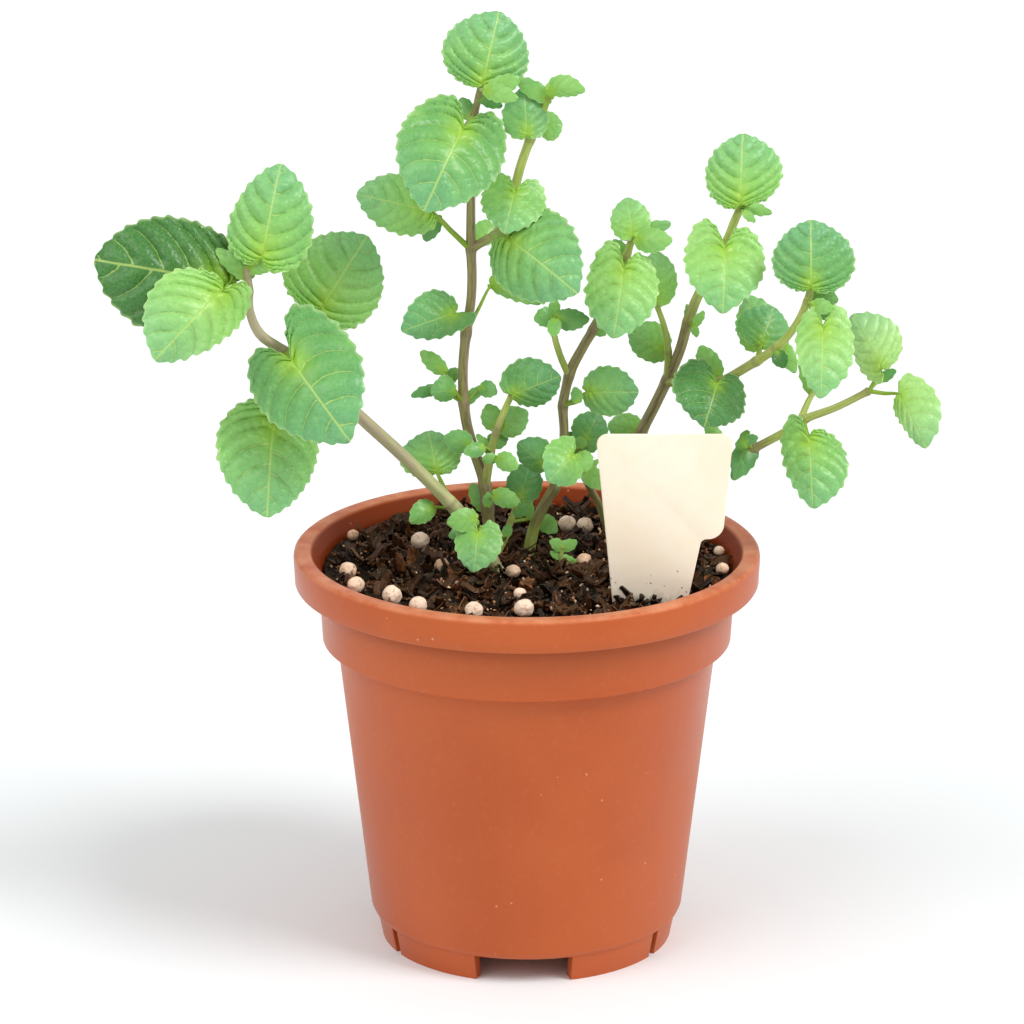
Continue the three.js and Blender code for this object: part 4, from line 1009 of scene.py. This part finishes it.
# Rows of a cane: across and down in steps of the front view, depth behind the pot's axis
# and radius in millimetres.
LEFT_STEM = [
    (497, 573, -1, 1.9), (478, 536, -2, 1.75), (455, 508, -4, 1.6), (402, 455, -7, 1.5),
    (368, 424, -10, 1.5), (325, 385, -13, 1.35), (285, 352, -16, 1.25), (260, 334, -18, 1.2),
    (250, 312, -19, 1.05), (249, 290, -20, 0.95), (247, 268, -20, 0.8),
]
FRONT_SPRIG = [(491, 562, -1.5, 1.1), (485, 546, -5, 0.9), (479, 527, -7, 0.7)]
# Rows of a leaf: joint, base and tip of its blade, lean of the tip toward the viewer in
# millimetres, left half, right half, arch, and tone from old (0) to young (1). The tone also
# paints shade: leaves that lie in shade were given a darker tone.
LEFT_LEAVES = [
    ((249, 291, -20), (229, 283, -18), (95, 260), 2, (62, 0.1, 0.42), (56, 0.12, 0.45), 0.12, 0.05),
    ((249, 290, -20), (222, 291, -27), (155, 360), 6, (35, 0.28, 0.2), 52, 0.14, 1.15),
    ((248, 268, -20), (262, 257, -22), (281, 164), -5,
     (40, 0.1, 0.26), (45, 0.15, 0.28), 0.06, 0.8),
    ((248, 276, -20), (243, 272, -22), (216, 249), -2, 9, 9, 0.05, 1),
    ((248, 270, -20), (252, 271, -23), (276, 266), 3, 7, 6, 0.1, 1),
    ((303, 368, -14), (322, 308, -8), (367, 236), -6, (54, 0.12, 0.26), (45, 0.14, 0.36), 0.1, 1),
    ((285, 352, -16), (291, 360, -24), (350, 441), 6,
     (60, 0.52, 0.22), (54, 0.34, 0.2), 0.13, 0.55),
    ((303, 368, -14), (273, 420, -18), (267, 517), 3, (46, 0.1, 0.24), (55, 0.22, 0.24), 0.1, 0.8),
    ((450, 503, -4), (437, 472, 3), (428, 431), -6, (34, 0.06, 0.45), (27, 0.06, 0.45), 0.1, 0.85),
    ((456, 509, -4), (433, 507, -4), (410, 522), 3, 9, 13, 0.15, 0.8),
    ((479, 528, -7), (478, 533, -13), (474, 572), 3, (25, 0.4, 0.24), (22, 0.36, 0.24), 0.1, 0.75),
    ((479, 528, -7), (476, 519, -10), (447, 522), 2, 12, 12, 0.12, 0.95),
    ((482, 537, -5), (470, 528, -5), (449, 537), 1, 8, 7, 0.1, 0.65),
]
leafy_stem("left_leafy_stem", "left_stem", [
    (LEFT_STEM, True, (1.0, 0.7, 0.2, 0.6), 0.4), (FRONT_SPRIG, False, (0.8, 1.0), 0),
], LEFT_LEAVES)

# The tall upright stem in the middle, with its side stem at the top, the short shoot and
# the inner sprig low down. It grew like the left one and has the same skins.
CENTRE_TRUNK = [
    (498, 565, 5.5, 1.6), (490, 530, 5, 1.6), (487, 505, 4, 1.55), (484, 480, 4, 1.5),
    (474, 450, 4, 1.35), (467, 425, 4, 1.3), (464, 404, 3, 1.35), (463, 370, 3, 1.25),
    (466, 334, 3, 1.3), (471, 300, 3, 1.2), (472, 275, 3, 1.2), (471, 248, 3, 1.25),
    (471, 200, 2, 1.1), (472, 150, 1, 1.0), (474, 118, 1, 1.0), (481, 88, 0, 0.8),
]
CENTRE_SIDE = [
    (471, 249, 3, 1.1), (484, 241, 2, 1.1), (496, 234, 1, 1.1), (504, 215, 1, 1.1),
    (514, 190, 0, 1.2), (521, 165, 0, 1.2), (530, 140, -1, 1.15), (541, 117, -1, 0.95),
    (548, 98, -2, 0.8),
]
SHORT_SHOOT = [
    (485, 486, 4, 1.2), (488, 468, 2, 1.1), (491, 450, 1, 1.0), (498, 427, 0, 0.85),
    (506, 407, 0, 0.8), (512, 394, 0, 0.7),
]
INNER_SPRIG = [(496, 558, 5.5, 0.9), (504, 540, 6, 0.85), (513, 515, 8, 0.75), (520, 498, 9, 0.6)]
CENTRE_LEAVES = [
    ((462, 402, 3), (454, 391, -1), (431, 392), 3, 10, 16, 0.15, 0.65),
    ((462, 402, 3), (437, 388, 2), (411, 396), 2, 6, 6, 0.1, 0.55),
    ((462, 402, 3), (444, 371, 1), (421, 351), -1, 9, 8, 0.08, 0.95),
    ((462, 402, 3), (449, 381, 5), (457, 368), 0, 7, 6, 0.08, 0.75),
    ((466, 402, 3), (472, 397, 1), (482, 386), 0, 6, 6, 0.08, 0.75),
    ((466, 402, 3), (481, 387, 2), (497, 393), 2, 9, 8, 0.1, 0.65),
    ((466, 334, 3), (454, 313, -4), (402, 331), 3, (19, 0.48, 0.28), (29, 0.12, 0.3), 0.12, 0.5),
    ((468, 331, 3), (492, 285, 8), (541, 303), 3, 20, (7, 0.1, 0.5), 0.1, 0.9),
    ((469, 248, 3), (431, 212, -3), (357, 194), -1, (29, 0.12, 0.35), (30, 0.12, 0.42), 0.1, 0.9),
    ((469, 248, 3), (437, 216, 3), (425, 241), 0, 9, 10, 0.1, 0.5),
    ((494, 236, 1), (508, 238, -11), (577, 293), 7, (50, 0.2, 0.36), (42, 0.14, 0.34), 0.18, 0.7),
    ((474, 118, 1), (463, 128, -11), (424, 211), 7, (51, 0.34, 0.24), (56, 0.32, 0.3), 0.15, 0.65),
    ((474, 118, 1), (469, 117, 6), (461, 98), -2, 8, 9, 0.05, 0.7),
    ((481, 89, 0), (482, 85, -2), (499, 12), -4, (47, 0.06, 0.42), (40, 0, 0.42), 0.06, 0.72),
    ((481, 90, 0), (486, 90, -8), (518, 99), 4, 9, 9, 0.12, 1),
    ((482, 92, 0), (489, 91, -4), (520, 78), 0, 10, 10, 0.1, 1),
    ((480, 96, 0), (485, 96, 3), (502, 107), -1, 7, 7, 0.08, 0.55),
    ((514, 190, 0), (515, 191, -7), (505, 233), 5, (33, 0.44, 0.24), (31, 0.44, 0.25), 0.1, 0.85),
    ((530, 139, -1), (527, 134, -6), (524, 88), -3, (24, 0.12, 0.36), (22, 0.12, 0.36), 0.06, 0.65),
    ((530, 139, -1), (541, 128, 4), (562, 123), 0, 15, 15, 0.08, 1),
    ((548, 98, -2), (549, 91, -4), (585, 91), 3, 16, 6, 0.14, 1),
    ((548, 98, -2), (546, 92, -1), (515, 79), 0, 9, 9, 0.1, 0.75),
    ((472, 248, 3), (480, 243, 11), (488, 220), -3, 12, 12, 0.06, 1),
    ((512, 394, 0), (513, 394, -2), (560, 376), 2, (30, 0.22, 0.38), (20, 0.05, 0.45), 0.1, 0.45),
    ((498, 429, 0), (500, 428, 4), (527, 411), 0, 14, 16, 0.1, 0.85),
    ((498, 429, 0), (495, 428, 3), (488, 404), -1, 11, 11, 0.1, 0.9),
    ((496, 434, 0), (497, 433, 5), (499, 449), 0, 10, 11, 0.1, 0.75),
    ((489, 460, 1), (498, 458, -5), (518, 468), 3, 10, 9, 0.12, 0.9),
    ((489, 460, 1), (496, 459, -4), (482, 459), 1, 5, 6, 0.08, 0.85),
    ((490, 452, 1), (470, 445, -4), (444, 437), 1, 11, 12, 0.1, 0.7),
    ((490, 452, 1), (483, 447, -6), (464, 453), 2, 8, 7, 0.1, 0.65),
    ((490, 452, 1), (486, 443, 0), (477, 434), 0, 5, 5, 0.06, 1),
    ((487, 508, 4), (487, 506, 0), (489, 492), 0, 5, 5, 0.06, 0.85),
    ((487, 503, 4), (494, 495, -2), (520, 503), 3, 10, 9, 0.12, 0.9),
    ((487, 508, 4), (480, 503, 5), (471, 484), -1, 10, 10, 0.08, 0.85),
    ((520, 499, 9), (520, 498, 9), (531, 463), -2, (18, 0.14, 0.4), (18, 0.14, 0.4), 0.08, 0.5),
    ((515, 510, 8), (516, 508, 4), (526, 514), 1, 8, 8, 0.08, 0.7),
    ((515, 510, 8), (527, 518, 14), (530, 501), -1, (6, 0.1, 0.35), (6, 0.1, 0.35), 0.05, 0.95),
    ((504, 540, 6), (506, 536, 2), (509, 524), 0, 5, 5, 0.05, 0.85),
    ((511, 522, 7.5), (541, 519, 14), (557, 532), 2, 9, 9, 0.1, 0.9),
]
leafy_stem("centre_leafy_stem", "centre_stem", [
    (CENTRE_TRUNK, True, (0.6, 0.25, 0.4, 0.5), 0), (CENTRE_SIDE, False, (0.5, 1.1), 0),
    (SHORT_SHOOT, False, (0.55, 0.8), 0), (INNER_SPRIG, False, (0.8, 1.0), 0),
], CENTRE_LEAVES)

# The stem right of the middle, green at its foot and woody above, with a twig and a spur.
MIDDLE_STEM = [
    (527, 560, 12, 1.5), (535, 525, 10, 1.4), (547, 500, 8, 1.3), (556, 485, 7, 1.35),
    (563, 456, 7, 1.15), (564, 430, 7, 1.1), (563, 406, 7, 1.2), (566, 388, 7, 1.15),
    (571, 370, 7, 1.25), (583, 347, 7, 1.15), (593, 330, 6, 1.15), (605, 305, 6, 1.05),
    (618, 275, 6, 1.05), (626, 258, 6, 1.0), (632, 238, 6, 0.8),
]
MIDDLE_TWIG = [(569, 376, 7, 0.9), (560, 355, 5, 0.85), (554, 333, 3, 0.8), (554, 316, 2, 0.7)]
MIDDLE_SPUR = [(555, 487, 7, 0.9), (570, 477, 5, 0.75), (586, 469, 4, 0.6)]
MIDDLE_LEAVES = [
    ((555, 487, 7), (545, 465, 3), (518, 443), 0, (14, 0.14, 0.4), (20, 0.14, 0.4), 0.1, 0.55),
    ((562, 459, 7), (573, 455, -4), (548, 481), 4, (21, 0.2, 0.38), (25, 0.42, 0.3), 0.1, 0.85),
    ((562, 459, 7), (578, 455, -1), (590, 470), 2, 11, 11, 0.1, 0.9),
    ((586, 469, 4), (586, 471, 2), (602, 489), 2, 10, 10, 0.1, 1),
    ((586, 469, 4), (589, 466, 4), (599, 460), 0, 4, 4, 0.05, 1),
    ((563, 406, 7), (588, 392, 4), (638, 392), 1, (26, 0.12, 0.4), (24, 0.12, 0.45), 0.1, 0.7),
    ((563, 406, 7), (578, 402, 1), (575, 387), 0, 6, 6, 0.05, 0.85),
    ((554, 317, 2), (551, 318, -1), (534, 319), 2, 9, 11, 0.12, 0.65),
    ((554, 317, 2), (558, 318, 0), (589, 320), 2, (10, 0.1, 0.35), (12, 0.1, 0.35), 0.12, 0.65),
    ((554, 316, 2), (554, 312, 3), (555, 298), 0, 6, 6, 0.05, 0.95),
    ((554, 317, 2), (555, 320, -3), (553, 337), 2, 7, 7, 0.08, 0.85),
    ((594, 330, 6), (594, 333, 3), (606, 335), 1, 5, 4, 0.05, 0.85),
    ((624, 262, 6), (624, 268, -2), (614, 338), 5, (37, 0.28, 0.34), (35, 0.46, 0.4), 0.12, 1.1),
    ((632, 238, 6), (633, 236, 4), (627, 198), -3, (20, 0.12, 0.4), (20, 0.12, 0.4), 0.06, 1),
    ((632, 238, 6), (637, 238, 2), (672, 241), 3, 11, 14, 0.12, 0.95),
    ((632, 238, 6), (638, 232, 8), (671, 223), 0, 9, 9, 0.1, 0.75),
    ((626, 258, 6), (625, 257, 10), (613, 240), 0, 7, 8, 0.08, 0.9),
]
leafy_stem("middle_leafy_stem", "middle_stem", [
    (MIDDLE_STEM, True, (1.0, 0.6, 0.1, 0.3, 0.9), 0), (MIDDLE_TWIG, False, (0.7, 1.0), 0),
    (MIDDLE_SPUR, False, (0.8, 1.0), 0),
], MIDDLE_LEAVES)

# The short thin stem behind it, which carries only a few small leaves at its tip.
BEHIND_STEM = [
    (608, 530, 29, 1.1), (600, 507, 27, 1.0), (590, 488, 25, 0.95), (581, 469, 22, 0.9),
    (579, 452, 19, 0.85), (583, 441, 17, 0.75),
]
BEHIND_LEAVES = [
    ((583, 441, 17), (585, 440, 14), (599, 413), -2, (19, 0.14, 0.4), (18, 0.14, 0.4), 0.08, 0.6),
    ((580, 450, 18), (579, 446, 17), (562, 431), 0, 8, 8, 0.08, 0.45),
    ((581, 448, 18), (580, 448, 13), (581, 436), 0, 6, 6, 0.06, 1),
    ((581, 448, 18), (583, 448, 14), (599, 446), 1, 6, 6, 0.06, 0.75),
]
leafy_stem("behind_leafy_stem", "behind_stem", [
    (BEHIND_STEM, True, (0.4, 0.6), 0),
], BEHIND_LEAVES)

# The tall stem at the right, the woodiest of all, with a thin twig behind and a long branch
# that comes forward.
RIGHT_STEM = [
    (614, 524, 35, 1.6), (625, 480, 31, 1.5), (640, 435, 28, 1.4), (655, 405, 26, 1.35),
    (667, 380, 24, 1.35), (680, 350, 21, 1.25), (688, 322, 19, 1.3), (697, 298, 17, 1.2),
    (712, 270, 15, 1.1), (726, 243, 13, 1.05), (735, 220, 12, 1.0), (741, 207, 11, 0.9),
]
RIGHT_TWIG = [(667, 379, 24, 1.0), (668, 350, 22, 0.9), (664, 326, 20, 0.85), (656, 303, 19, 0.7)]
RIGHT_BRANCH = [
    (667, 381, 24, 1.2), (692, 385, 17, 1.2), (717, 383, 9, 1.2), (745, 368, 2, 1.2),
    (777, 347, -4, 1.15), (796, 325, -9, 1.05), (807, 302, -11, 0.95), (811, 289, -12, 0.8),
]
RIGHT_LEAVES = [
    ((642, 431, 28), (640, 432, 31), (608, 425), -2, 15, 16, 0.08, 1),
    ((688, 322, 19), (686, 318, 17), (687, 304), 0, 3.5, 3.5, 0.05, 1),
    ((688, 322, 19), (695, 325, 15), (704, 311), 0, 4.5, 4.5, 0.05, 0.95),
    ((688, 322, 19), (694, 327, 14), (697, 337), 0, 4, 4, 0.05, 1),
    ((726, 243, 13), (725, 247, 2), (723, 313), 6, (40, 0.36, 0.26), (40, 0.5, 0.26), 0.14, 1.1),
    ((741, 207, 11), (740, 204, 9), (743, 134), -4, (35, 0.08, 0.46), (41, 0.02, 0.5), 0.06, 0.9),
    ((741, 207, 11), (743, 209, 8), (772, 213), 3, 7, 6, 0.14, 1),
    ((741, 210, 11), (744, 212, 7), (755, 222), 1, 4.5, 4.5, 0.05, 1),
    ((656, 303, 19), (656, 301, 18), (656, 251), -3, (18, 0.12, 0.4), (21, 0.12, 0.4), 0.08, 1),
    ((667, 352, 22), (664, 350, 24), (629, 331), -2,
     (18, 0.16, 0.42), (21, 0.12, 0.42), 0.08, 0.95),
    ((717, 383, 9), (717, 383, -2), (704, 427), 6, (34, 0.4, 0.26), (43, 0.5, 0.26), 0.14, 0.25),
    ((719, 383, 9), (717, 376, 15), (700, 346), -2, 12, 11, 0.08, 1),
    ((757, 361, 0), (761, 344, 5), (774, 307), -5, (31, 0.1, 0.34), (26, 0.1, 0.42), 0.08, 0.6),
    ((759, 360, 0), (758, 346, 15), (748, 296), -4, 17, 26, 0.06, 1),
    ((775, 349, -4), (777, 352, -8), (784, 368), 1, 8, 8, 0.08, 0.1),
    ((777, 348, -4), (783, 345, 4), (795, 373), 0, 8, 8, 0.08, 1),
    ((811, 289, -12), (811, 287, -14), (811, 220), -4, (38, 0.06, 0.42), 44, 0.06, 0.55),
    ((810, 295, -12), (812, 293, -6), (838, 301), 0, 10, 10, 0.08, 0.75),
    ((808, 301, -11), (817, 304, -7), (842, 322), 1, 10, 9, 0.08, 0.4),
    ((808, 301, -11), (813, 305, -17), (834, 309), 3, 8, 8, 0.14, 1),
    ((808, 301, -11), (823, 327, -21), (821, 398), 5, (31, 0.38, 0.32), (26, 0.3, 0.2), 0.1, 1.15),
]
leafy_stem("right_leafy_stem", "right_stem", [
    (RIGHT_STEM, True, (0.2, 0.2, 0.45, 1.0), 0), (RIGHT_TWIG, False, (0.7, 1.0), 0),
    (RIGHT_BRANCH, False, (0.6, 0.85), 0),
], RIGHT_LEAVES)

# The low stem that leans far out to the right behind the label, with its twig.
LOW_STEM = [
    (636, 545, 18, 1.4), (655, 515, 16, 1.35), (690, 485, 13, 1.3), (725, 463, 11, 1.2),
    (757, 447, 9, 1.15), (790, 429, 7, 1.15), (803, 420, 6, 1.15), (837, 407, 5, 1.0),
    (869, 391, 4, 0.95),
]
LOW_TWIG = [(800, 421, 6, 0.85), (808, 402, 9, 0.75), (814, 391, 12, 0.6)]
LOW_LEAVES = [
    ((748, 451.5, 9.3), (748, 441, 10.4), (733, 480), 3, (15, 0.14, 0.3), (10, 0.3, 0.2), 0.1, 0.4),
    ((753, 449, 9), (746, 441, 6), (758, 437), 0, 5, 5, 0.05, 0.55),
    ((722, 464, 11), (720, 438, 17), (705, 427), 0, 8, 7, 0.05, 0.95),
    ((803, 420, 6), (809, 438, -2), (813, 508), 3, (37, 0.14, 0.42), (27, 0.42, 0.14), 0.1, 0.8),
    ((814, 391, 12), (813, 392, 12), (803, 353), -2, 10, 9, 0.06, 1),
    ((869, 391, 4), (881, 368, 1), (852, 315), -3, (18, 0.24, 0.3), (34, 0.06, 0.42), 0.1, 1.45),
    ((869, 391, 4), (880, 380, 6), (896, 370), 0, 6, 5, 0.05, 0.6),
    ((869, 391, 4), (899, 394, 0), (926, 448), 3, (33, 0.28, 0.32), (12, 0, 0.3), 0.1, 1.25),
]
leafy_stem("low_leafy_stem", "low_stem", [
    (LOW_STEM, True, (0.45, 0.7), 0), (LOW_TWIG, False, (0.8, 1.0), 0),
], LOW_LEAVES)

# A seedling that came up in the mix in front of the label: a thin stem with its first two
# pairs of small bright leaves.
SEEDLING_STEM = [(562, 572, 1, 0.6), (561, 557, 1, 0.5), (563, 547, 1, 0.45)]
SEEDLING_LEAVES = [
    ((563, 548, 1), (561, 549, 0), (550, 540), 0, 6, 6, 0.08, 1),
    ((563, 548, 1), (565, 549, 0), (577, 541), 0, 6, 6, 0.08, 1),
    ((561, 557, 1), (559, 557, -1), (550, 552), 0, 4, 4, 0.05, 1),
    ((561, 557, 1), (564, 559, -1), (577, 562), 1, 4, 4, 0.05, 1),
]
leafy_stem("young_seedling", "seedling", [
    (SEEDLING_STEM, True, (0.9, 1.0), 0),
], SEEDLING_LEAVES)
